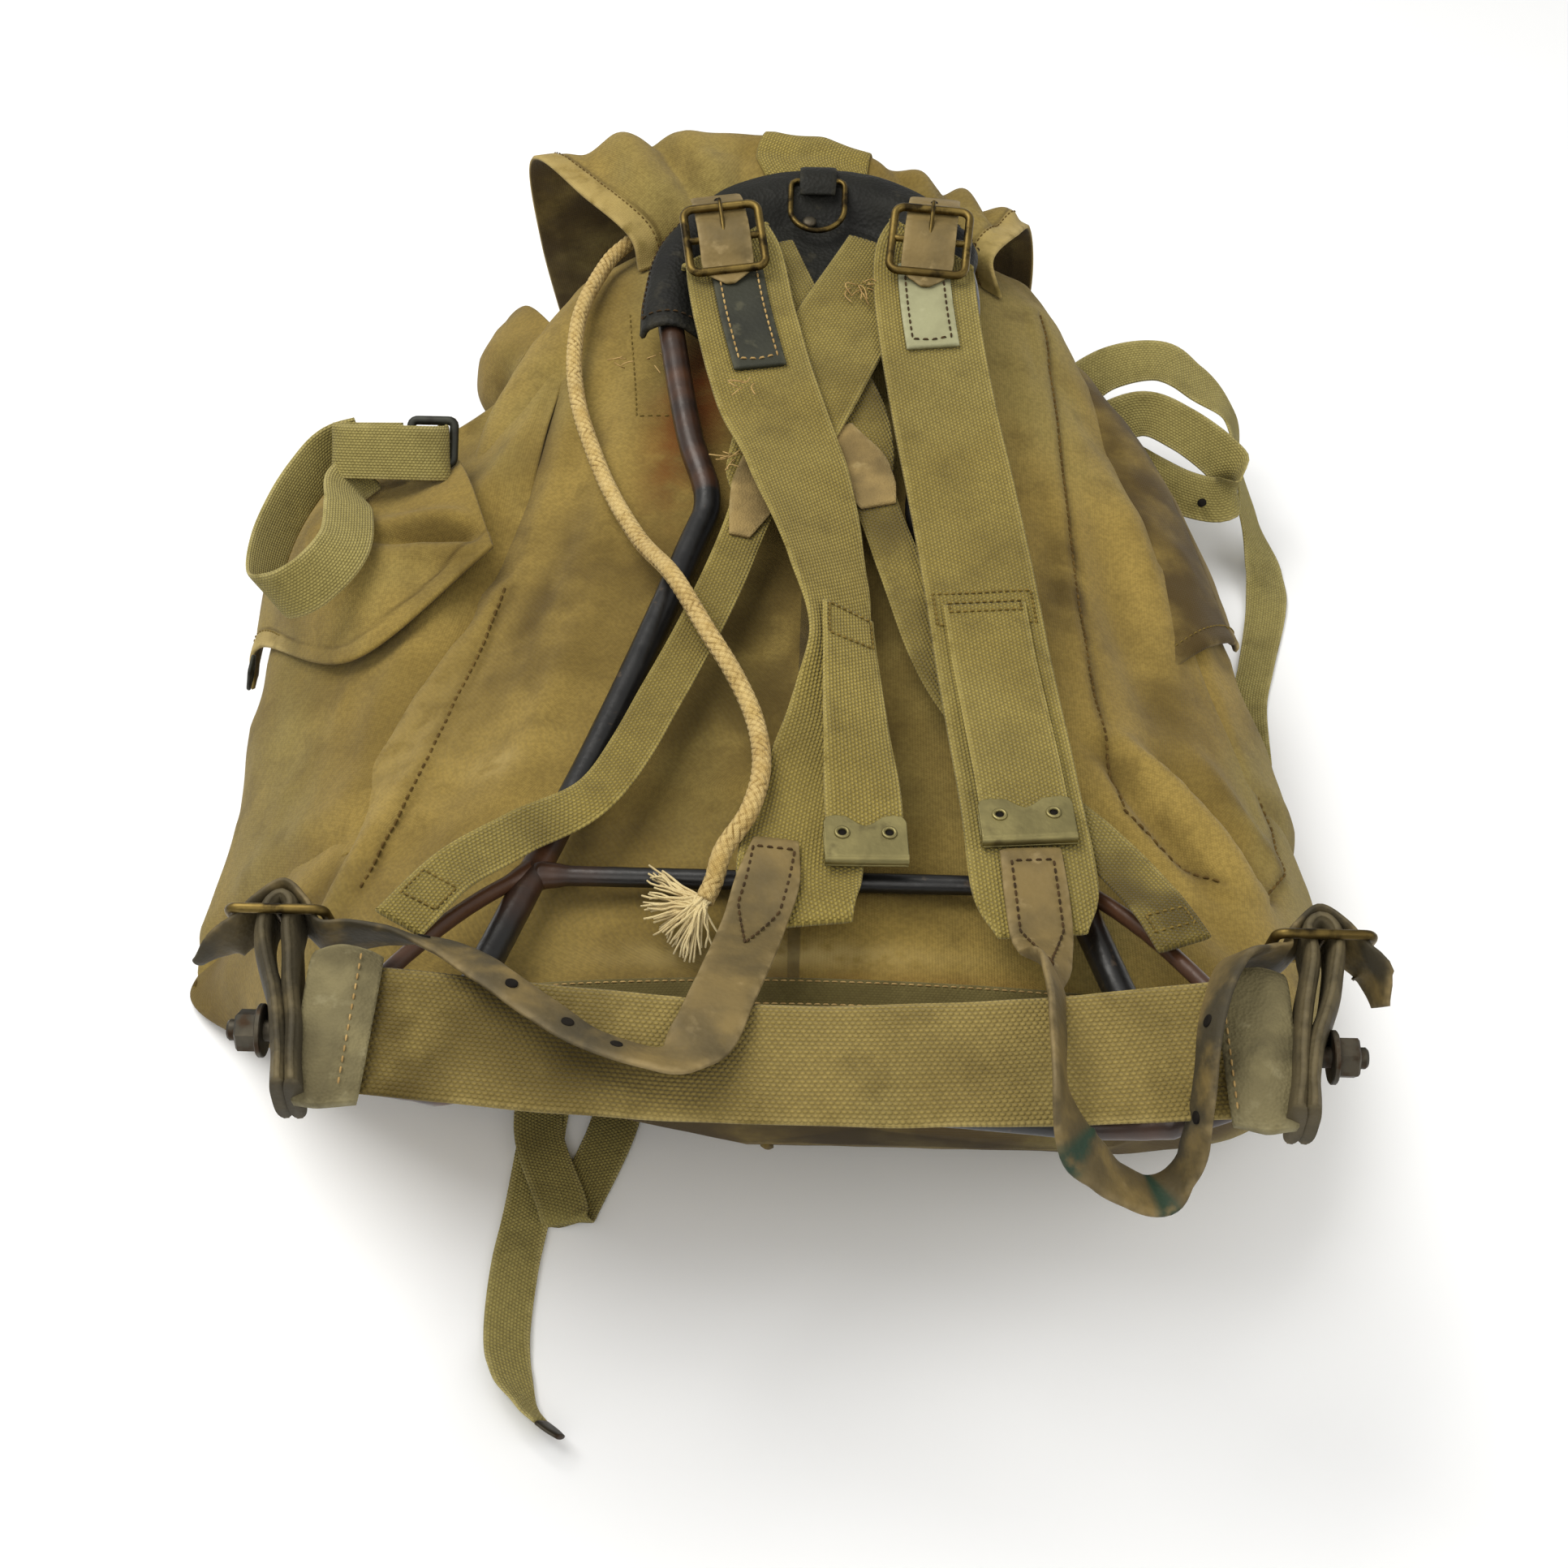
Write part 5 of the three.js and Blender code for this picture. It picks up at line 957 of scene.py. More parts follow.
def hem_line(p, side, width):
    """Row of points a little less than a hem's width in from one side of a grid, for its stitches."""
    both = np.concatenate([p, normals_of(p) * outward(p)], 2)
    both = both if side == "end" else both.transpose(1, 0, 2)
    both = both if side == "left" else both[::-1]
    rows = []
    for line in both.transpose(1, 0, 2):
        run = runs(line[:, :3])
        rows.append([np.interp(width - HEM_STITCH, run, line[:, c]) for c in range(6)])
    rows = np.array(rows)
    return rows[:, :3] + rows[:, 3:] * (CANVAS / 2 + 0.5), rows[:, 3:]


def cloth_piece(name, p, thick, tone, inside):
    body = Body()
    shell(body, p, thick, np.clip(tone, 0, 1), inside, outward(p))
    return body.make(name, "canvas", "canvas")


LID_FOLDS = table(
    "x0 y0 x1 y1 w h",
    (-99, 462, -66, 396, 6, -6.5), (-118, 470, -86, 384, 9, 5), (-78, 450, -52, 400, 9, 4),
    (-40, 440, -44, 404, 5, -2.5), (34, 438, 48, 396, 6, -3), (58, 448, 72, 398, 6, -4.5),
    (46, 436, 60, 392, 6, 3), (78, 436, 96, 392, 7, -4), (68, 440, 84, 392, 6, 3.5),
    (94, 430, 108, 400, 6, 3.5), (-140, 470, -112, 404, 8, -2.5),
)


def lid_relief(p):
    """Gathers, folds and soft bumps of the lid."""
    x, y, z = p[..., 0], p[..., 1], p[..., 2]
    gather = np.sin(x / 5.5 + 1.5 * np.sin(y / 21)) * smooth(x, 25, 70) * 0.8
    soft = 1.6 * bumps(p * [1, 1, 0.5], 42, 6.0) + 0.9 * bumps(p, 18, 2.6)
    soft = soft - 1.6 * np.abs(bumps(p * [1, 0.6, 0.4], 26, 4.4))
    return gather + 1.35 * fold_rise(x, y, LID_FOLDS) + soft * smooth(z, 5, 60)


BAND = (slice(24, 86), slice(60, 90))
BAND_THICK = 1.6


def make_lid():
    p, thick, tone = hemmed(partial(surface, LID), 120, 150, ["left", "right"], lid_relief, LID_HEM)
    # Inner face of the lid darkened as painted shade.
    lid = cloth_piece("lid", p, thick, tone, (0, 1, 0))
    for side in ("left", "right"):
        sew("dark", "hem", *hem_line(p, side, LID_HEM))
    strip = Body()
    shell(strip, p[BAND] + normals_of(p)[BAND] * outward(p) * (CANVAS / 2 + 1.0), BAND_THICK)
    strip.make("lid_band", "webbing", "webbing", False)
    return lid


LID_PIECE = make_lid()

# Side pockets and flaps standing off the sack
POCKET_LEFT = table(
    "y a b c d",
    (-6, 3.2, 7, 11, 13), (25, 3.2, 10, 14, 14), (65, 3.2, 17, 26, 24), (120, 3.2, 23.5, 47.5, 48),
    (180, 3.2, 23.2, 58.2, 57), (235, 3.2, 17, 53, 50), (280, 3.2, 13, 43, 41),
)
POCKET_RIGHT = table(
    "y a b c d",
    (40, 1.9, 3, 4, 3), (90, 1.9, 6, 8, 6), (160, 1.9, 9, 14, 12), (230, 1.9, 11, 20, 17),
    (290, 1.9, 12, 24, 20),
)
FLAP_RIGHT = table("y a b c", (330, -6, 4, 22), (280, -5, 10, 28), (228, -4, 12, 27), (174, -3, 13, 23))
LEFT_PLACES = [0.875, 0.815, 0.75, 0.665]
RIGHT_PLACES = [0.19, 0.225, 0.27, 0.335]
FLAP_PLACES = [0.17, 0.215, 0.28]
FLAP_LEFT = [
    [[-282, 285, 30], [-273, 284, 66], [-238, 277, 98], [-188, 258, 121]],
    [[-288, 225, 30], [-281, 222, 66], [-247, 200, 112], [-170, 206, 143]],
    [[-288, 171, 30], [-279, 171, 60], [-216, 108, 114], [-153, 156, 144]],
]
SLEEVE_SEAM = np.array([0.69, 0.745, 0.785, 0.815])
SLEEVE = [
    on_sack(sack_at(np.full(4, 338)), SLEEVE_SEAM, np.full(4, CANVAS / 2 + 1)),
    [[-172, 366, 36], [-190, 366, 74], [-178, 366, 106], [-146, 346, 121]],
    [[-166, 410, 40], [-180, 408, 78], [-164, 400, 106], [-141, 358, 121]],
]


def standing(rows, places, merge=0.0, drop=0.0):
    """Grid off the sack by a table of lifts. Merge sinks its edges, drop lengthens its inner side."""
    keys = ["a", "b", "c", "d"][: len(places)]

    def grid(u, v):
        lifts = spline(np.stack([spline(rows[k], u) for k in keys]), v).T
        y = spline(rows["y"], u)[:, None] - drop * u[:, None] ** 2 * (1 - v[None])
        if merge:
            low = 1 - smooth(u, 0, 0.16)[:, None]
            near = 1 - smooth(v, 0, 0.2)[None]
            high = smooth(u, 0.66, 1)[:, None] * (1 - smooth(v, 0.3, 0.72))[None]
            y = y + merge * high
            sunk = np.maximum(np.maximum(low, near), high)
            lifts = lifts * (1 - sunk) - 4 * sunk
        s = spline(places, v)[None] + 0 * y
        at = sack_at(y)
        p = sack_point(at, s)
        return on_sack(at, s, lifts + sack_relief(p, np.zeros(p.shape[:2], bool)))

    return grid


FLAP_FOLDS = table(
    "x0 y0 x1 y1 w h",
    (-214, 178, -146, 163, 4, -9), (-214, 188, -148, 173, 6, 6), (-205, 166, -150, 152, 6, 4),
    (-240, 200, -205, 120, 14, 4),
)


def soft_relief(size, height, seed, folds=None):
    """Soft bumps and creases of that size and height, and folds if given."""
    def rise(p):
        sharp = np.abs(bumps(p * [1, 0.6, 1], size * 0.6, seed + 3))
        out = height * (bumps(p, size, seed) - 0.7 * sharp)
        return out + (fold_rise(p[..., 0], p[..., 1], folds) if folds else 0)

    return rise


def make_pockets():
    left = standing(POCKET_LEFT, LEFT_PLACES, 46)
    right = standing(POCKET_RIGHT, RIGHT_PLACES, 1)
    flap_right = standing(FLAP_RIGHT, FLAP_PLACES, drop=65)
    made = {}
    for name, grid, nu, nv, hems, *relief in (
        ("side_pocket_left", left, 90, 70, [], 46, 2.6, 2.2),
        ("side_pocket_right", right, 80, 40, [], 46, 2.0, 4.4),
        ("pocket_flap_right", flap_right, 60, 44, ["end"], 40, 1.6, 7.0),
        ("pocket_flap_left", partial(surface, FLAP_LEFT), 90, 110, ["end"], 50, 2.6, 5.1, FLAP_FOLDS),
        ("side_sleeve_left", partial(surface, SLEEVE), 50, 50, [], 30, 1.6, 1.3),
    ):
        p, thick, tone = hemmed(grid, nu, nv, hems, soft_relief(*relief))
        v = np.linspace(0, 1, nv)
        sewn = nv
        if name == "pocket_flap_left":
            tone[..., 0] *= (1 - smooth(v, 0.42, 0.5))[None]
            sewn = int(nv * 0.45)
        if name == "pocket_flap_right":
            # Painted shade over the flap's inner part beside the sack; its rim stays paler.
            tone[..., 1] += (1 - smooth(v, 0.6, 0.85))[None] * 1.15
        # Inner faces darkened as painted shade.
        made[name] = cloth_piece(name, p, thick, tone, (0, 0.9, 0))
        for side in hems:
            line, up = hem_line(p, side, HEM)
            sew("olive", "hem", line[:sewn], up[:sewn])
    return made


POCKETS = make_pockets()

# Frame: legs and arch in one bend of tube, crossbar, hip bar and side arms brazed to it
LEG = [
    (-140, -180, 173), (-132, -141, 165), (-125, -112, 160), (-111, -62, 158), (-83, 36, 159),
    (-57, 135, 163), (-50, 168, 166), (-60, 206, 172), (-70, 259, 179), (-75, 300, 183),
    (-70, 335, 186), (-52, 364, 188.5), (-28, 380, 190),
]


def mirrored(rows):
    return [(-x, y, z) for x, y, z in rows][::-1]


TUBE = [*LEG, (0, 385, 190.5), *mirrored(LEG)]
HIP = [
    (-178, -181, 190), (-156, -184, 180), (-133, -180, 172), (-60, -172, 157), (0, -170, 153),
    (60, -176, 157), (111, -186, 166), (133, -188, 172), (156, -188, 180), (178, -181, 190),
]
ARM = [(-109, -58, 158), (-130, -85, 168), (-147, -116, 180), (-163, -148, 187), (-171, -180, 188)]
CROSSBAR = [(-110, -62, 158), (0, -61, 156.8), (110, -62, 158)]
JOINTS = np.array([
    (-110, -61, 158), (110, -61, 158), (-136, -181, 172),
    (136, -186, 172), (-170, -178, 188), (170, -178, 188),
])


def make_frame():
    body = Body()
    for line, radius, sides in (
        (TUBE, FRAME_RADIUS, 20), (HIP, HIP_RADIUS, 16), (ARM, ARM_RADIUS, 14),
        (mirrored(ARM), ARM_RADIUS, 14), (CROSSBAR, CROSSBAR_RADIUS, 16),
    ):
        p = resampled(spline(line, np.linspace(0, 1, 600)), 2.5)
        gap = np.min(np.linalg.norm(p[:, None] - JOINTS[None], axis=2), 1)
        bead = np.exp(-((gap / 9.0) ** 2))
        rough = bumps(p, 5, 3.0)
        r = radius + bead * (2.2 + 0.8 * rough) * (radius < 6) + 0.12 * rough
        upper = (np.abs(p[:, 0]) < 80) & (p[:, 1] > 170) & (p[:, 1] < 275)
        rust = np.clip(1.1 * np.exp(-((gap / 22.0) ** 2)) + 0.75 * upper, 0, 1)
        rust = rust * (0.5 + 0.5 * bumps(p, 9, 6.0)) + 0.6 * (radius == ARM_RADIUS)
        tone = np.stack([0 * rust, 0 * rust, np.clip(1.4 * rust, 0, 0.95)], -1)
        tube(body, p, r, sides, tone=tone)
    body.make("frame", "paint", "paint")


make_frame()

# Yoke: leather over the arch; places across it measured from the tube line (outward, above)
ARCH = [(-75, 274, 180.5), *LEG[9:], (0, 385, 190.5), *mirrored(LEG[9:]), (75, 274, 180.5)]
YOKE_ACROSS = table("out up", (12.5, 0.5), (9, 6.5), (0, 9.2), (-9, 6.5), (-20, -3))
YOKE_RIM = 0.62
YOKE_FOOT = 276
YOKE_STEP = 0.01


def yoke_point(u, v):
    """Point of the yoke at u along the arch and v across it, over the tube and in to its heart."""
    u, v = np.broadcast_arrays(np.asarray(u, float), np.asarray(v, float))
    way = unit(spline(ARCH, np.minimum(u + YOKE_STEP, 1)) - spline(ARCH, np.maximum(u - YOKE_STEP, 0)))
    out = unit(np.stack([-way[..., 1], way[..., 0], 0 * u], -1))
    rim = np.minimum(v / YOKE_RIM, 1)
    q = spline(ARCH, u) + out * spline(YOKE_ACROSS["out"], rim)[..., None]
    q[..., 2] += spline(YOKE_ACROSS["up"], rim)
    inward = np.maximum((v - YOKE_RIM) / (1 - YOKE_RIM), 0)[..., None]
    up = q[..., 1] - YOKE_FOOT
    heart = np.stack([q[..., 0] * 0.3, YOKE_FOOT + up * 0.12, 176 + up * 0.05], -1)
    return q + (heart - q) * inward


def make_yoke():
    u = np.linspace(1, 0, 130)[:, None]
    v = np.linspace(0, 1, 56)[None]
    p = yoke_point(u, v)
    p[..., 1] += 5 * smooth(p[..., 1], 350, 395) * (1 - smooth(v, 0.1, 0.4))
    p[..., 0] -= 13 * smooth(p[..., 0], 35, 75) * smooth(350 - p[..., 1], 0, 45)
    n = normals_of(p)
    crease = 1.0 * bumps(p, 22, 2.0) - 0.5 * np.abs(bumps(p, 12, 6.0))
    p = p + n * (crease * smooth(v, 0.05, 0.2))[..., None]
    edge = np.exp(-v / 0.05) + np.exp(-np.minimum(u, 1 - u) / 0.015) + 0 * p[..., 0]
    tone = np.stack([np.clip(edge, 0, 1) * 0.8, 0 * edge, 0 * edge], -1)
    body = Body()
    shell(body, p, LEATHER, tone)
    body.make("yoke", "black_leather", "black_leather")
    for line_u, line_v in (
        (np.linspace(0.03, 0.8, 300), np.full(300, 0.075)),
        (np.full(60, 0.03), np.linspace(0.08, 0.6, 60)),
    ):
        q = yoke_point(line_u, line_v)
        inward = yoke_point(line_u, line_v + YOKE_STEP) - q
        up = unit(np.cross(inward, yoke_point(line_u + STEP, line_v) - q))
        up = up * np.sign(up[:, 2:])
        sew("brown", "yoke", q + up * (LEATHER / 2 + 0.25), up)


make_yoke()

# Shoulder straps from the fold at the yoke to the lower end, and the cross straps
SHOULDER_RIGHT = route(
    SHOULDER_WIDTH,
    (60, 342, 201, -0.04, -0.12, 1), (53, 319, 199, -0.04, -0.12, 1), (54, 280, 195, -0.03, -0.14, 1),
    (61, 221, 185.5, 0, -0.12, 1), (71, 148, 178.5, 0, -0.06, 1), (77, 95, 176, 0, -0.03, 1),
    (82, 43, 175), (90, -30, 175), (94, -79, 175), (96, -101, 174, 0, -0.05, 1, 36),
)
SHOULDER_LEFT = route(
    SHOULDER_WIDTH,
    (-55, 343, 201, 0.04, -0.12, 1), (-44, 317, 199, 0.04, -0.12, 1), (-36, 274, 195, 0.03, -0.12, 1),
    (-23, 217, 190.5, 0.05, -0.1, 1), (-7, 166, 188.5, 0.25, -0.06, 0.95, 49),
    (8, 100, 186, 0.5, 0, 0.86, 42), (14, 54, 184, 0.6, 0, 0.8, 34), (12, 12, 180.5, 0.1, 0, 1, 40),
    (3, -31, 177, -0.2, 0, 0.98, 48), (-1, -74, 175), (2, -98, 173.5, 0, 0, 1, 38),
)
CROSS_LEFT = route(
    TAIL_WIDTH,
    (38, 336, 192.8, 0, -0.1, 1, 51), (13, 277, 188.6, 0, -0.1, 1, 51), (-8, 219, 184.4, 0, -0.1, 1, 51),
    (-22, 172, 179.5, 0, -0.08, 1, 40), (-28, 150, 176.5, 0, -0.06, 1, 22),
    (-43, 93, 173, -0.05, -0.05, 1), (-62, 36, 170.5, -0.1, -0.1, 1), (-85, -25, 171.5, -0.2, -0.2, 1),
    (-116, -54, 175, -0.1, -0.35, 1), (-139, -80, 181, -0.1, -0.35, 1, 22),
    (-156, -114, 188, 0, -0.3, 1, 22),
)
CROSS_RIGHT = route(
    TAIL_WIDTH,
    (-38, 336, 190.2, 0, -0.1, 1, 51), (-18, 281, 185.4, 0, -0.1, 1, 51), (7, 224, 179.8, 0, -0.1, 1, 51),
    (19, 190, 176, 0, -0.08, 1, 40), (28, 164, 174, 0, -0.06, 1, 22), (41, 117, 171.5, 0, -0.05, 1),
    (59, 51, 169.2), (89, -6, 168.6, 0.05, 0, 1), (119, -44, 169.6, 0.05, -0.1, 1),
    (133, -68, 173.5, 0.1, -0.25, 1, 22), (142, -92, 182, 0.1, -0.3, 1, 22),
    (149, -115, 188, 0, -0.3, 1, 22),
)

# Overlay tabs, binding along the base, belt and the patches of the cross straps
TAB_LIFT = WEBBING + 0.4
TAB_RIGHT = joined(
    on_strap(SHOULDER_RIGHT, 0.575, 0.66, TAB_LIFT, [TAB_WIDTH] * 3),
    on_strap(SHOULDER_RIGHT, 0.74, 0.825, TAB_LIFT + 2.4, [TAB_WIDTH] * 3),
)
TAB_LEFT = route(
    32,
    (17, 70, 187.2, 0.55, 0, 0.83, 27), (18, 50, 187.4, 0.5, 0, 0.86, 27), (21, 3, 187, 0.3, 0, 0.95, 29),
    (24, -34, 184, 0.12, 0, 0.99), (25, -51, 182.5, 0.08, 0, 1), (26, -68, 181.5, 0.05, 0, 1),
)
BIND_PLACES = np.array([-0.115, -0.06, 0, 0.06, 0.115])
BIND_AT = np.full(5, sack_at(-112))
BIND_LINE = on_sack(BIND_AT, BIND_PLACES, np.full(5, TAPE_LIFT))
BIND = route(TAPE_WIDTH, *[(*p, *n) for p, n in zip(BIND_LINE, sack_normal(BIND_AT, BIND_PLACES))])
BELT = route(
    BELT_WIDTH,
    (-159, -177, 203, 0, -0.1, 1), (-80, -182, 200, 0, -0.08, 1), (0, -184, 197, 0, -0.08, 1, 51),
    (90, -181, 199, 0, -0.08, 1), (160, -176, 203, 0, -0.1, 1, 58),
)
PATCH_LEFT = on_strap(CROSS_LEFT, 0.23, 0.44, WEBBING + 0.2, [24, 26, 27, 27, 26, 21, 10])
PATCH_RIGHT = on_strap(CROSS_RIGHT, 0.22, 0.385, WEBBING + 0.2, [10, 17, 24, 27, 26, 24, 17])

# Pocket straps: the roll and loop on the left pocket, two straps on the right one
ROLL_LEFT = route(
    27,
    (-192, 234, 138.5, 0, 0.65, -0.75), (-183, 228, 142, 1, 0, 0), (-187, 221, 147, 0.3, -0.65, 0.72),
    (-210, 218, 149.5, 0, -0.65, 0.75), (-233, 220, 148, -0.1, -0.65, 0.75), (-239, 225, 144.5, -1, 0, 0),
    (-233, 230, 141, -0.1, 0.65, -0.75), (-206, 232, 140, 0, 0.65, -0.75),
)
LOOP_LEFT = route(
    26,
    (-224, 224, 132, 0.5, -0.3, 0.8, 22), (-231, 207, 137, 0.6, -0.3, 0.75, 24),
    (-225, 181, 145, 0.5, -0.4, 0.77), (-223, 152, 147, 0.45, -0.5, 0.75),
    (-235, 131, 143, 0.3, -0.75, 0.6), (-250, 126, 137, -0.1, -0.95, 0.2),
    (-261, 138, 130, -0.7, -0.6, -0.4), (-265, 168, 126, -0.85, 0, -0.5),
    (-262, 198, 126, -0.8, 0.35, -0.45), (-254, 220, 130, -0.6, 0.7, -0.35),
    (-243, 236, 135, -0.5, 0.8, -0.3), (-228, 240, 138, -0.2, 0.9, -0.4),
)
RIGHT_ONE = route(
    25,
    (134.6, 352, 66, 0.93, 0.36, 0, 24), (138, 368, 73, 0.8, -0.1, 0.5, 24),
    (160, 384, 83, -0.1, -0.5, 0.85), (189, 388, 87, 0, -0.4, 0.9), (209, 381, 79, 0.4, -0.3, 0.85),
    (230, 370, 64, 0.85, -0.1, 0.5), (236, 352, 44, 0.95, 0, 0.3), (243, 332, 22, 0.8, -0.1, 0.6),
    (251, 306, 6.5, 0.35, 0, 0.9, 24), (250, 278, 1.6, 0, 0, 1, 22), (240, 233, 1.6, 0, 0, 1, 19),
    (233, 202, 1.6, 0, 0, 1, 19), (231, 160, 1.6, 0, 0, 1, 19),
)
RIGHT_TWO = route(
    25,
    (138.5, 337, 56, 0.93, 0.36, 0, 24), (152, 348, 66, 0.3, -0.6, 0.75), (178, 352, 78, 0, -0.65, 0.75),
    (200, 342, 76, 0, -0.65, 0.75), (222, 331, 65, -0.2, -0.65, 0.75), (231, 321, 56, -1, 0, 0),
    (222, 314, 50, -0.2, 0.65, -0.75), (204, 318, 50, 0, 0.65, -0.75), (186, 330, 51, 0, 0.65, -0.75),
    (168, 345, 53, 0, 0.65, -0.75, 24),
)

# Straps under the base: one turned back on itself, and a tail with its metal tip
BASE_FOLD = route(
    22,
    (-79, -36, 1.5), (-84, -78, 1.5), (-97, -119, 1.5), (-100, -130.5, 3.7, 0, 1, 0),
    (-104, -119, 5.8, 0, 0, -1), (-117, -84, 4.4, 0, 0, -1), (-118, -50, 4.1, 0, 0, -1),
)
BASE_TAIL = route(
    21,
    (-114, -48, 1.5), (-118, -119, 1.5), (-121, -152, 1.5), (-121, -184, 1.6, 0, 0, 1, 20),
    (-117, -204, 4.5, 0.25, 0.3, 0.9, 18), (-109, -221, 7.5, 0.5, 0.55, 0.6, 14),
    (-102, -229, 8.5, 0.5, 0.6, 0.55, 11),
)
BASE_TIP = route(
    11,
    (-101.4, -229.5, 8.5, 0.5, 0.6, 0.55), (-97, -233, 9, 0.5, 0.6, 0.55),
    (-93, -236, 9.4, 0.5, 0.6, 0.55, 7),
)


def top_fold(body, rows, start, slant, drop):
    """Webbing turned over at the head of a shoulder strap."""
    p, way, side, face, w = strap_frame(rows, np.array([start]))
    k = np.linspace(-1, 1, 15)
    edge = p + side * (k * w[0] / 2)[:, None] + way * (slant * k)[:, None]
    a = np.linspace(0.04, 0.96, 12)[:, None, None] * math.pi
    grid = edge - face * drop / 2 + face * drop / 2 * np.cos(a) - way * (drop * 0.42) * np.sin(a)
    shell(body, grid, WEBBING)


def strap_piece(name, rows, thick, look, slot, fold=0, **extra):
    body = Body()
    strap(body, rows, thick, **extra)
    if fold:
        top_fold(body, rows, extra["start"], extra["slant"], fold)
    body.make(name, look, slot)


def box(start, end, half):
    """Rectangle of stitches on a strap, closed."""
    return [(start, -half), (start, half), (end, half), (end, -half), (start, -half)]


DARNED = [(-98.7, 328), (-92.6, 277), (-89.5, 244), (-72, 242)]


def make_straps():
    for name, rows, start, slant, fold in (
        ("shoulder_strap_right", SHOULDER_RIGHT, 0.06, -11, 8.5),
        ("shoulder_strap_left", SHOULDER_LEFT, 0.07, 9, 10.5),
    ):
        cut = {"start": start, "slant": slant, "wobble": 0.8, "dirt": 0.5}
        strap_piece(name, rows, WEBBING, "webbing", "webbing", fold, **cut)
    for name, rows, wobble, dirt in (
        # The right cross strap's 1.4 is painted shade beside the right shoulder strap.
        ("cross_strap_left", CROSS_LEFT, 0.5, 0.8), ("cross_strap_right", CROSS_RIGHT, 0.5, 1.4),
        ("strap_tab_right", TAB_RIGHT, 0.4, 0.4), ("strap_tab_left", TAB_LEFT, 0.4, 0.4),
    ):
        strap_piece(name, rows, WEBBING, "webbing", "webbing", wobble=wobble, dirt=dirt)
    strap_piece("base_binding", BIND, TAPE, "tape", "webbing", dirt=0.8)
    # Belt darker towards its left end.
    wear = {"across": 16, "wobble": 0.8, "dirt": (1.9, 1.2, 0.5, 0.5, 0.6)}
    strap_piece("belt", BELT, BELT_WEBBING, "belt_weave", "webbing", **wear)
    for name, rows, dirt in (
        ("pocket_strap_left", ROLL_LEFT, 0.4), ("pocket_loop_left", LOOP_LEFT, 0.3),
        ("pocket_strap_right", RIGHT_ONE, 0.4), ("pocket_loop_right", RIGHT_TWO, 0.4),
        # The base strap's 0.9 is painted shade under the bag.
        ("base_strap", BASE_FOLD, 0.9), ("base_tail", BASE_TAIL, 0),
    ):
        strap_piece(name, rows, THIN_WEBBING, "thin_webbing", "webbing", dirt=dirt)
    face = WEBBING / 2 + 0.35
    sew("olive", "box", *strap_line(SHOULDER_RIGHT, box(0.556, 0.6, 22), face + 0.1))
    for x0, y0, x1, y1 in ((0, -17, 0, 17), (0.06, -17, 0.06, 17), (0, -16, 0.06, -16), (0, 16, 0.06, 16)):
        sew("olive", "box", *strap_line(TAB_RIGHT, [(x0, y0), (x1, y1)], face))
    sew("olive", "box", *strap_line(TAB_LEFT, box(0.02, 0.2, 11), face))
    for rows in (CROSS_LEFT, CROSS_RIGHT):
        sew("olive", "tail", *strap_line(rows, box(0.925, 0.965, 8), face))
    for off in (-5, 5):
        sew("pale", "tape", *strap_line(BIND, [(0.01, off), (0.99, off)], 0.85))
    for line in SEAMS:
        sew("dark", "seam", *panel(line, 0.25))
    sew("olive", "darn", *panel(DARNED, 0.3))


make_straps()


def plate(outline, holes, depth, bevel):
    """Flat plate with holes, its edges softened: points and faces."""
    curve = bpy.data.curves.new("plate", "CURVE")
    curve.dimensions = "2D"
    curve.fill_mode = "BOTH"
    curve.extrude = depth / 2 - bevel
    curve.bevel_depth = bevel
    curve.offset = -bevel
    curve.bevel_resolution = 1
    for line in [outline, *holes]:
        run = curve.splines.new("POLY")
        run.points.add(len(line) - 1)
        flat = np.concatenate([line, np.zeros((len(line), 1)), np.ones((len(line), 1))], 1)
        run.points.foreach_set("co", flat.ravel())
        run.use_cyclic_u = True
    drawn = bpy.data.objects.new("plate", curve)
    bpy.context.scene.collection.objects.link(drawn)
    mesh = bpy.data.meshes.new_from_object(drawn.evaluated_get(bpy.context.evaluated_depsgraph_get()))
    points = np.array([v.co for v in mesh.vertices])
    faces = [np.array([p.vertices[:]]) for p in mesh.polygons]
    bpy.data.objects.remove(drawn)
    bpy.data.curves.remove(curve)
    bpy.data.meshes.remove(mesh)
    return points, faces


def ring_of(radius, steps=20):
    a = np.linspace(0, 2 * math.pi, steps, endpoint=False)
    return np.stack([radius * np.cos(a), radius * np.sin(a)], 1)


EYELET = 2.5
EYELET_WIRE = 0.85
EYELET_PLACE = 10


def eyelet(body, o, n):
    side = unit(np.cross(n, (0.2, 0.9, 0.3)))
    line = np.pad(ring_of(EYELET, 24), ((0, 0), (0, 1)))
    tube(body, local(line, o, side, np.cross(n, side)), EYELET_WIRE, 8, True, n)


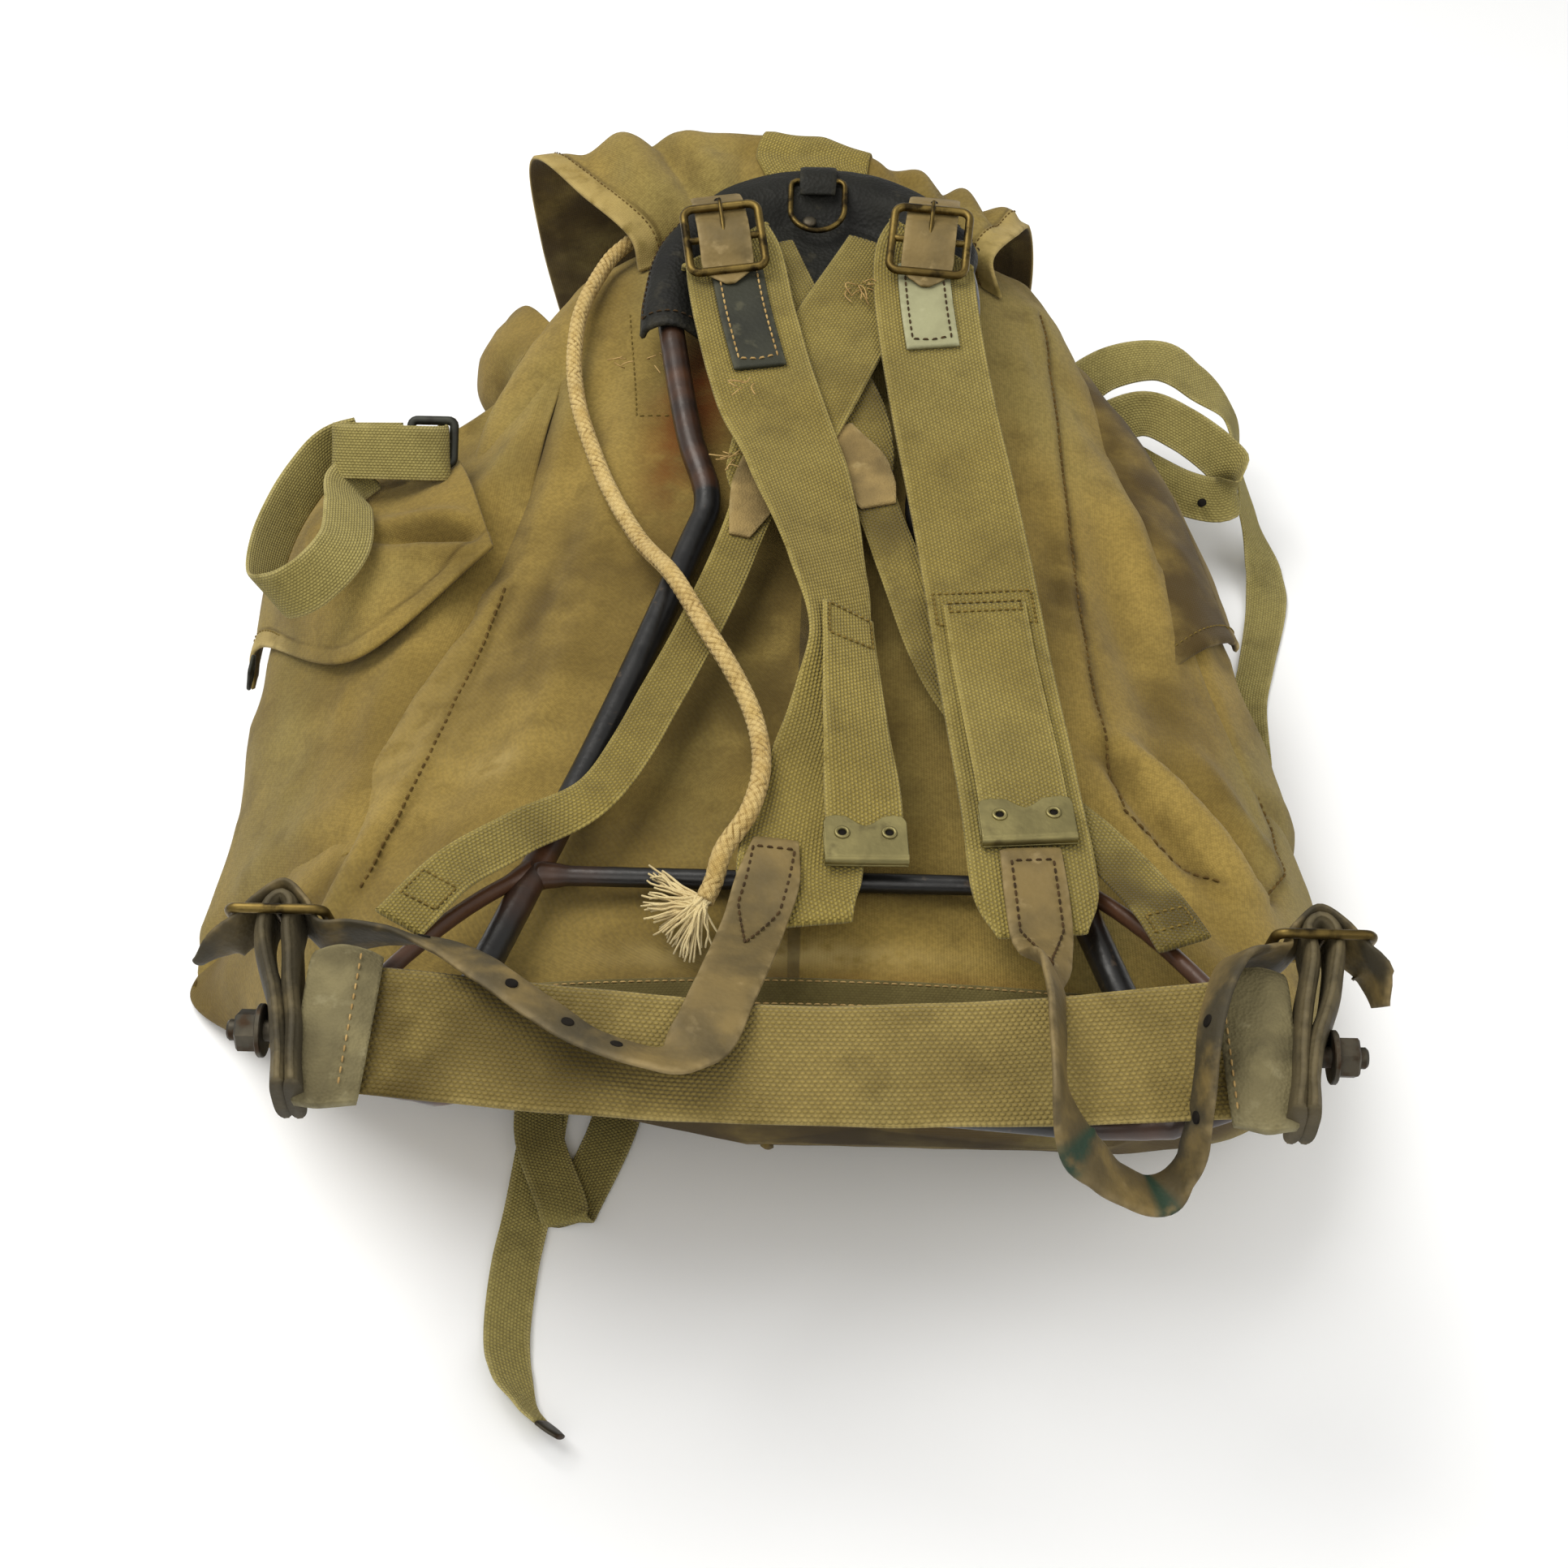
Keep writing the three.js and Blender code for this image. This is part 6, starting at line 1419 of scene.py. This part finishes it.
def make_tips():
    """Bronze tips folded over the tab ends, notched at the top, an eyelet at each side."""
    dark = Body()
    for name, rows in (("strap_tip_right", TAB_RIGHT), ("strap_tip_left", TAB_LEFT)):
        p, way, side, face, wide = (a[0] for a in strap_frame(rows, np.array([1.0])))
        half = wide / 2 + 1
        rise = WEBBING / 2 + 0.9
        line = [(-half, -1.5), (half, -1.5), (half, 16), (half - 1.5, 18.5), (half - 5, 19.3)]
        line += [(7.5, 18.6), (3, 15)]
        line += [(0, 13.6)] + [(-x, y) for x, y in line[:1:-1]]
        line = resampled(line + line[:1], 1.0)[:-1]
        eyes = (-0.3 * wide, 0.3 * wide)
        holes = [ring_of(1.7) + [x, EYELET_PLACE] for x in eyes]
        back = -way
        sign = np.sign(np.cross(side, back) @ face)
        body = Body()
        for up, drop in ((rise, 0), (-rise, 2)):
            points, faces = plate(line, holes if up > 0 else [], 1.1, 0.35)
            points = points - [0, drop, 0]
            body.add(local(points * [1, 1, sign], p + face * up, side, back), faces)
        roll = p + way * 1.2 + side * np.linspace(-half, half, 24)[:, None]
        tube(body, roll, rise + 0.55, 14, up=face)
        for x in eyes:
            eye = p + side * x + back * EYELET_PLACE + face * rise
            eyelet(body, eye + face * 0.6, unit(face))
            lathe(dark, [(-0.5, 2.0), (0.3, 2.0), (0.35, 1)], eye, face, 16)
        body.make(name, "bronze", "brass", sharp=50)
    dark.make("eyelet_holes", "hole", "brass", False)


make_tips()

# Top buckles with the billets from the yoke laced through them and chapes sewn on the straps
TOP = [
    ("left", (-48, 316, 211.5), 9, SHOULDER_LEFT, 0.13, 0.27, "slate_leather", "black_leather", "pale"),
    ("right", (55, 317, 211.5), -5, SHOULDER_RIGHT, 0.135, 0.275, "pale_leather", "grey_leather", "brown"),
]
TOP_LEAN = math.radians(19)

# Width, height, wire and corner of each kind of buckle
TOP_BUCKLE = (42, 43, 4.3, 7)
LOWER_BUCKLE = (34, 40, 4, 6)
SLIDE = (26, 26, 4.6, 5)
FLAP_BUCKLE = (14, 16, 2.2, 3)

# Billet through its buckle: places along and out of it, and width
LACED = [
    (46, -27, 26), (34, -14.5, 26), (21, -4.4, 26), (14.5, -2, 26), (8, 2, 26),
    (0, 3.6, 26), (-8, 2.4, 26), (-14.5, -0.8, 26), (-20, -1.4, 22), (-27, -0.6, 5),
]


def buckle(name, look, slot, o, across, along, size, prong=False):
    """Rounded frame of bar with a middle bar, and a prong where it has one."""
    width, height, wire, corner = size
    body = Body()
    out = unit(np.cross(across, along))
    line = np.pad(rounded(width - wire, height - wire, corner - wire / 2), ((0, 0), (0, 1)))
    tube(body, local(line, o, across, along), wire / 2, 12, True, out)
    bar = np.linspace(-(width - wire) / 2, (width - wire) / 2, 12)
    tube(body, local(np.stack([bar, 0 * bar, 0 * bar], 1), o, across, along), wire / 2.4, 12, up=out)
    if prong:
        y = np.linspace(0, height / 2 + 0.5, 16)
        z = wire / 2 + 0.9 + 0.8 * np.sin(y / height * 2 * math.pi)
        tube(body, local(np.stack([0 * y, y, z], 1), o, across, along), 1.25 - 0.3 * y / y[-1], 10, up=out)
    body.make(name, look, slot)


def make_top_buckles():
    for side, o, turn, rows, start, end, look, slot, thread in TOP:
        a = math.radians(turn)
        rise = np.array([0, math.cos(TOP_LEAN), math.sin(TOP_LEAN)])
        across = np.array([math.cos(a), 0, 0]) + math.sin(a) * rise
        along = np.array([-math.sin(a), 0, 0]) + math.cos(a) * rise
        out = np.cross(across, along)
        buckle("top_buckle_" + side, "brass", "brass", o, across, along, TOP_BUCKLE, True)
        laced = route(BILLET_WIDTH, *[(*(np.array(o) + along * y + out * z), *out, w) for y, z, w in LACED])
        strap_piece("top_billet_" + side, laced, BILLET_LEATHER, "brown_leather", "brown_leather", pitch=1.6)
        chape = on_strap(rows, start, end, WEBBING / 2 + 1.7, [BILLET_WIDTH] * 5)
        strap_piece("buckle_chape_" + side, chape, CHAPE_LEATHER, look, slot, pitch=1.6, wobble=0.4)
        line = [(0.02, -9.5), (0.93, -9.5), (0.95, 0), (0.93, 9.5), (0.02, 9.5)]
        sew(thread, "chape", *strap_line(chape, line, 1.5))
        hole = Body()
        place = strap_frame(laced, np.array([0.13]))[0][0] + out
        lathe(hole, [(-0.4, 1.9), (0.15, 1.9), (0.2, 1.4)], place, out, 18)
        hole.make("billet_hole_" + side, "hole", "brown_leather", False)


make_top_buckles()

# Ring tab, D-ring and rivet on the yoke
RING_TAB = route(
    19,
    (-2, 397.5, 198.5, 0, 0.7, 0.7), (-2, 391, 204, 0, 0.35, 0.95), (-2, 382.5, 206.4),
    (-2, 376, 204.6, 0, -0.4, 0.9), (-2, 371.5, 201, 0, -0.5, 0.87, 18),
)
RING = {"x": -2, "y": 381.5, "z": 202.9, "half": 14, "reach": 33, "drop": 0.24}
RIVET_AT = (-6, 361, 192.3)


def make_ring():
    strap_piece("ring_tab", RING_TAB, TAB_LEATHER, "black_leather", "black_leather", pitch=1.2)
    a = np.linspace(0, math.pi, 30)
    half = RING["half"]
    reach = (RING["reach"] - half) + half * np.sin(a)
    bow = np.stack([half * np.cos(a), -reach, -reach * RING["drop"]], 1)
    foot = [(-14, -4), (-13.4, -1.6), (-11, 0), (-6, 0), (0, 0)]
    foot = np.array(foot + [(-x, y) for x, y in foot[-2::-1]])
    foot = np.stack([foot[:, 0], foot[:, 1], foot[:, 1] * RING["drop"]], 1)
    line = np.concatenate([bow, foot]) + [RING["x"], RING["y"], RING["z"]]
    line = resampled(np.concatenate([line, line[:1]]), 1.3)[:-1]
    ring = Body()
    tube(ring, line, RING_WIRE, 12, True, (0, -0.23, 0.97))
    ring.make("d_ring", "brass", "steel", body="ring")
    rivet = Body()
    dome = [(-1.2, 3.7), (-0.4, 3.7), (0.3, 3.2), (0.8, 2.2), (1.05, 0.9)]
    lathe(rivet, dome, RIVET_AT, (0, -0.1, 1), 22)
    rivet.make("yoke_rivet", "steel", "steel")


make_ring()


def sided(rows, m):
    """Rows of a strap on the right (1) or, mirrored, on the left (-1)."""
    return [(x * m, y, z, nx * m, ny, nz) for x, y, z, nx, ny, nz in rows]


# End straps of leather: stitched on the shoulder straps, laced through the lower buckles
BUCKLED = [
    (186.5, -126.5, 205, -0.6, 0.8, 0), (196, -118.2, 205, 0, 1, 0), (205.5, -126.5, 205, 0.6, 0.8, 0),
    (213, -136.4, 204.5, 0.4, 0.9, 0.1),
]
END_LEFT = route(
    INCH_LEATHER,
    (-10.8, -58, 178.2, 0, -0.03, 1, 19), (-13.5, -80, 178.3, 0, -0.05, 1, 26),
    (-18, -103, 180, 0, -0.3, 0.95), (-22, -126, 189, -0.05, -0.4, 0.9),
    (-27, -153, 201, -0.1, -0.35, 0.93), (-33, -178, 207.5, -0.1, -0.3, 0.94),
    (-41, -191, 210.5, -0.15, 0.3, 0.94, 22), (-53, -193, 211.5, -0.1, 0.55, 0.83, 19),
    (-74, -187, 213, -0.15, 0.55, 0.82, 16), (-92, -175, 214, -0.25, 0.6, 0.75, 16),
    (-112, -159, 213.5, -0.25, 0.62, 0.74, 16), (-132, -142, 208, -0.1, 0.72, 0.68, 18),
    (-155, -135, 206, 0, 0.9, 0.4), (-171, -135.5, 205.5, 0, 0.98, 0.2),
    (-179, -136.4, 205, 0.3, 0.95, 0.1), *sided(BUCKLED, -1),
    (-219, -139, 202, -0.4, 0.8, 0.3, 22), (-227, -143, 197, -0.4, 0.7, 0.5, 10),
)
END_RIGHT = route(
    INCH_LEATHER,
    (92.5, -60, 178.3), (94, -84, 178.3, 0, -0.03, 1, 26), (95, -103, 178.5, 0, -0.2, 0.98),
    (95, -122, 186, 0.15, -0.45, 0.9, 22), (95, -146, 204, 0.7, -0.35, 0.65, 18),
    (95, -172, 214, 0.9, -0.2, 0.4, 17), (94, -203, 216, 0.92, -0.35, 0.25, 18),
    (99, -219, 205, 0.8, -0.55, 0.2, 20), (108, -223, 195, 0.75, -0.15, 0.65, 21),
    (119, -224, 184, 0.45, 0.1, 0.88, 20), (131, -223, 177, 0.1, 0.15, 0.98, 20),
    (140, -217, 180, -0.6, 0.15, 0.8, 18), (144, -212, 192, -0.9, -0.3, 0.35, 16),
    (146, -202, 208, -0.92, -0.1, 0.4, 16), (149, -180, 222, -0.85, 0.2, 0.5, 17),
    (157, -156, 224, -0.6, 0.6, 0.5, 19), (169, -139, 212, -0.1, 0.95, 0.3, 22),
    (179, -136.4, 205.5, -0.3, 0.95, 0.1), *sided(BUCKLED, 1),
    (216.5, -141, 201, 0.5, 0.8, 0.3, 23), (218.5, -149, 195, 0.6, 0.7, 0.4, 16),
)
LOWER_CHAPE = [
    (183.4, -209, 203, 1, 0.1, 0), (188.4, -180, 203.5, 1, 0.15, 0), (196, -156, 204.5, 1, -0.1, 0),
    (200.6, -139, 205, 1, 0, 0), (200.4, -128, 205, 0.95, 0.3, 0), (196, -123.5, 205, 0, 1, 0),
    (191.6, -128, 205, -0.95, 0.3, 0), (191.4, -139, 205, -1, 0, 0), (188, -156, 204.5, -1, 0.1, 0),
    (183, -180, 203.5, -1, 0.15, 0), (178.4, -209, 203, -1, 0.1, 0),
]
BUCKLE_AT = np.array([196, -128.5, 205])
BOLT_AT = np.array([195.6, -179, 203])
STRAP_EYE = (211, 307, 53.5)
ACROSS = np.array([1.0, 0, 0])
UPWARD = np.array([0, 1.0, 0])
LOWER_TILT = np.array([0, -0.37, 0.93])
BELT_BLOCK = ((156, 203, 62), (163, 205, 67), (171, 205.5, 69), (180, 204, 65))
WASHER = [(-1.1, 6), (-1.1, 9.6), (-0.7, 10), (0.7, 10), (1.1, 9.6), (1.1, 6)]
NUT = [(1.1, 6.8), (1.5, 8), (8.2, 8), (9, 7), (9, 4)]
BOLT = [(-7, 4), (11.6, 4), (12.5, 3.2)]


def make_ends():
    holes = Body()
    top = STRAP_LEATHER / 2
    for name, rows, places, sewn, grime_and_shade, paint in (
        ("end_strap_left", END_LEFT, (0.3785, 0.425, 0.4825, 0.57), 0.14, (0.4, 0.5, 1.6, 2.2, 2.4), ()),
        ("end_strap_right", END_RIGHT, (0.55, 0.61), 0.15, (0.2, 0.4, 0.9, 1.8, 2.2, 2.4), (0.315, 0.437)),
    ):
        wear = {"wobble": 1.0, "dirt": grime_and_shade, "paint": paint}
        strap_piece(name, rows, STRAP_LEATHER, "brown_leather", "brown_leather", pitch=1.8, **wear)
        p, _, _, face, _ = strap_frame(rows, np.array(places))
        for o, n in zip(p, face):
            lathe(holes, [(0, 2.4), (top + 0.6, 2.4), (top + 0.65, 1.5)], o, n, 18)
        bend = sewn * 0.6
        line = [(0.012, -8.5), (bend, -8.5), (sewn, 0), (bend, 8.5), (0.012, 8.5), (0.012, -8.5)]
        sew("brown", "end", *strap_line(rows, line, top + 0.3))
    lathe(holes, [(-3, 2.2), (0.4, 2.2), (0.5, 1.2)], STRAP_EYE, (0.1, -0.65, 0.75), 16)
    holes.make("strap_holes", "hole", "brown_leather", False)
    for side, m, patch, seam in (("left", -1, PATCH_LEFT, 0.35), ("right", 1, PATCH_RIGHT, 0.14)):
        place = BUCKLE_AT * [m, 1, 1]
        buckle("lower_buckle_" + side, "brass", "brass", place, LOWER_TILT, ACROSS, LOWER_BUCKLE)
        rows = route(INCH_LEATHER, *sided(LOWER_CHAPE, m))
        wear = {"pitch": 1.8, "across": 14, "wobble": 1.4, "dirt": 1.2 - 0.5 * m}
        strap_piece("lower_chape_" + side, rows, CHAPE_FOLD, "drab_leather", "grey_leather", **wear)
        bolt = Body()
        for profile, sides, turn in ((WASHER, 30, 0), (NUT, 6, 0.35), (BOLT, 18, 0)):
            lathe(bolt, profile, BOLT_AT * [m, 1, 1], (m, 0, 0), sides, turn)
        bolt.make("frame_bolt_" + side, "steel", "steel", sharp=35)
        ends = route(0, *[(x * m, -177.5, z, 0, -0.08, 1, w) for x, z, w in BELT_BLOCK])
        wear = {"pitch": 1.5, "across": 26, "wobble": 2.4, "dirt": 0.6}
        strap_piece("belt_end_" + side, ends, BELT_SLEEVE, "grey_leather", "grey_leather", **wear)
        sew("pale", "belt", *strap_line(ends, [(seam, -29), (seam, 29)], BELT_SLEEVE / 2 + 0.4))
        wear = {"wobble": 0.6, "dirt": 0.5}
        strap_piece("cross_patch_" + side, patch, SUEDE, "suede_patch", "brown_leather", pitch=1.8, **wear)


make_ends()


def make_small():
    slide = unit(np.array([0, 0.75, 0.65]))
    flap = unit(np.array([0.2, 0, 0.97]))
    buckle("pocket_slide_left", "dark_steel", "steel", (-191, 233, 144.5), ACROSS, slide, SLIDE)
    buckle("flap_buckle_left", "dark_steel", "steel", (-285.4, 166, 46), UPWARD, flap, FLAP_BUCKLE)
    strap_piece("base_strap_tip", BASE_TIP, 2.4, "steel", "steel", pitch=0.8, across=10)
    for thread, name, slot in (
        ("dark", "seam_stitches", "canvas"), ("olive", "webbing_stitches", "webbing"),
        ("brown", "leather_stitches", "brown_leather"), ("pale", "pale_stitches", "black_leather"),
    ):
        SEWN[thread].make(name, thread + "_thread", slot, False)


make_small()


def make_threads():
    """Loose thread ends on the straps and the darned place beside the left leg."""
    loose = Body()
    q = np.linspace(0, 1, 9)[:, None]
    arc = np.sin(q * math.pi)
    flat = np.array([1, 1, 0.4])
    for start, count, reach, way in (
        ((22, 303, 192.5), 9, 16, (0.2, -0.9, 0.1)), ((-34, 216, 200), 5, 9, (-0.7, -0.5, 0.1)),
        ((-98, 273, 166), 4, 8, (0.8, -0.2, 0.1)), ((-81, 268, 170), 4, 9, (0.6, -0.6, 0.2)),
        ((-36, 178, 184), 8, 10, (-0.6, -0.6, 0.2)),
    ):
        for _ in range(count):
            aim = unit(np.array(way) + CHANCE.normal(0, 0.35, 3) * flat) * reach * CHANCE.uniform(0.5, 1.2)
            root = np.array(start) + CHANCE.normal(0, 2.5, 3) * [1, 1, 0.1]
            curl = CHANCE.normal(0, 2, 3) * flat * arc
            tube(loose, root + aim * q + curl + [0, 0, 1.2] * arc, 0.32, 5)
    loose.make("loose_threads", "pale_thread", "webbing", False)


make_threads()

# Floor and soft light
FLOOR_HALF = 6
FLOOR_DROP = 0.0004
SKY = (1, 0.985, 0.945, 1)
SKY_STRENGTH = 0.5
LAMP_COLOUR = (1, 0.975, 0.92)
LIGHTS = (
    ("key", (-0.75, 0.45, 1.7), 1.3, 29), ("fill", (1.3, -0.6, 1.4), 1.6, 12),
    ("front", (-0.3, -1.3, 1.5), 1.2, 9),
)


def make_stage():
    scene = bpy.context.scene
    mesh = bpy.data.meshes.new("floor")
    corners = ((-1, -1), (1, -1), (1, 1), (-1, 1))
    mesh.from_pydata([(FLOOR_HALF * x, FLOOR_HALF * y, -FLOOR_DROP) for x, y in corners], [], [(0, 1, 2, 3)])
    floor = bpy.data.objects.new("floor", mesh)
    scene.collection.objects.link(floor)
    mesh.materials.append(LOOKS["floor"])
    world = bpy.data.worlds.new("studio")
    scene.world = world
    world.use_nodes = True
    sky = world.node_tree.nodes["Background"]
    sky.inputs["Color"].default_value = SKY
    sky.inputs["Strength"].default_value = SKY_STRENGTH
    for name, where, size, power in LIGHTS:
        light = bpy.data.lights.new(name, "AREA")
        light.size = size
        light.energy = power
        light.color = LAMP_COLOUR
        lamp = bpy.data.objects.new(name, light)
        lamp.location = where
        lamp.rotation_mode = "QUATERNION"
        lamp.rotation_quaternion = (TARGET - Vector(where)).to_track_quat("-Z", "Y")
        scene.collection.objects.link(lamp)
    scene.view_settings.view_transform = "Standard"
    scene.view_settings.look = "None"


make_stage()
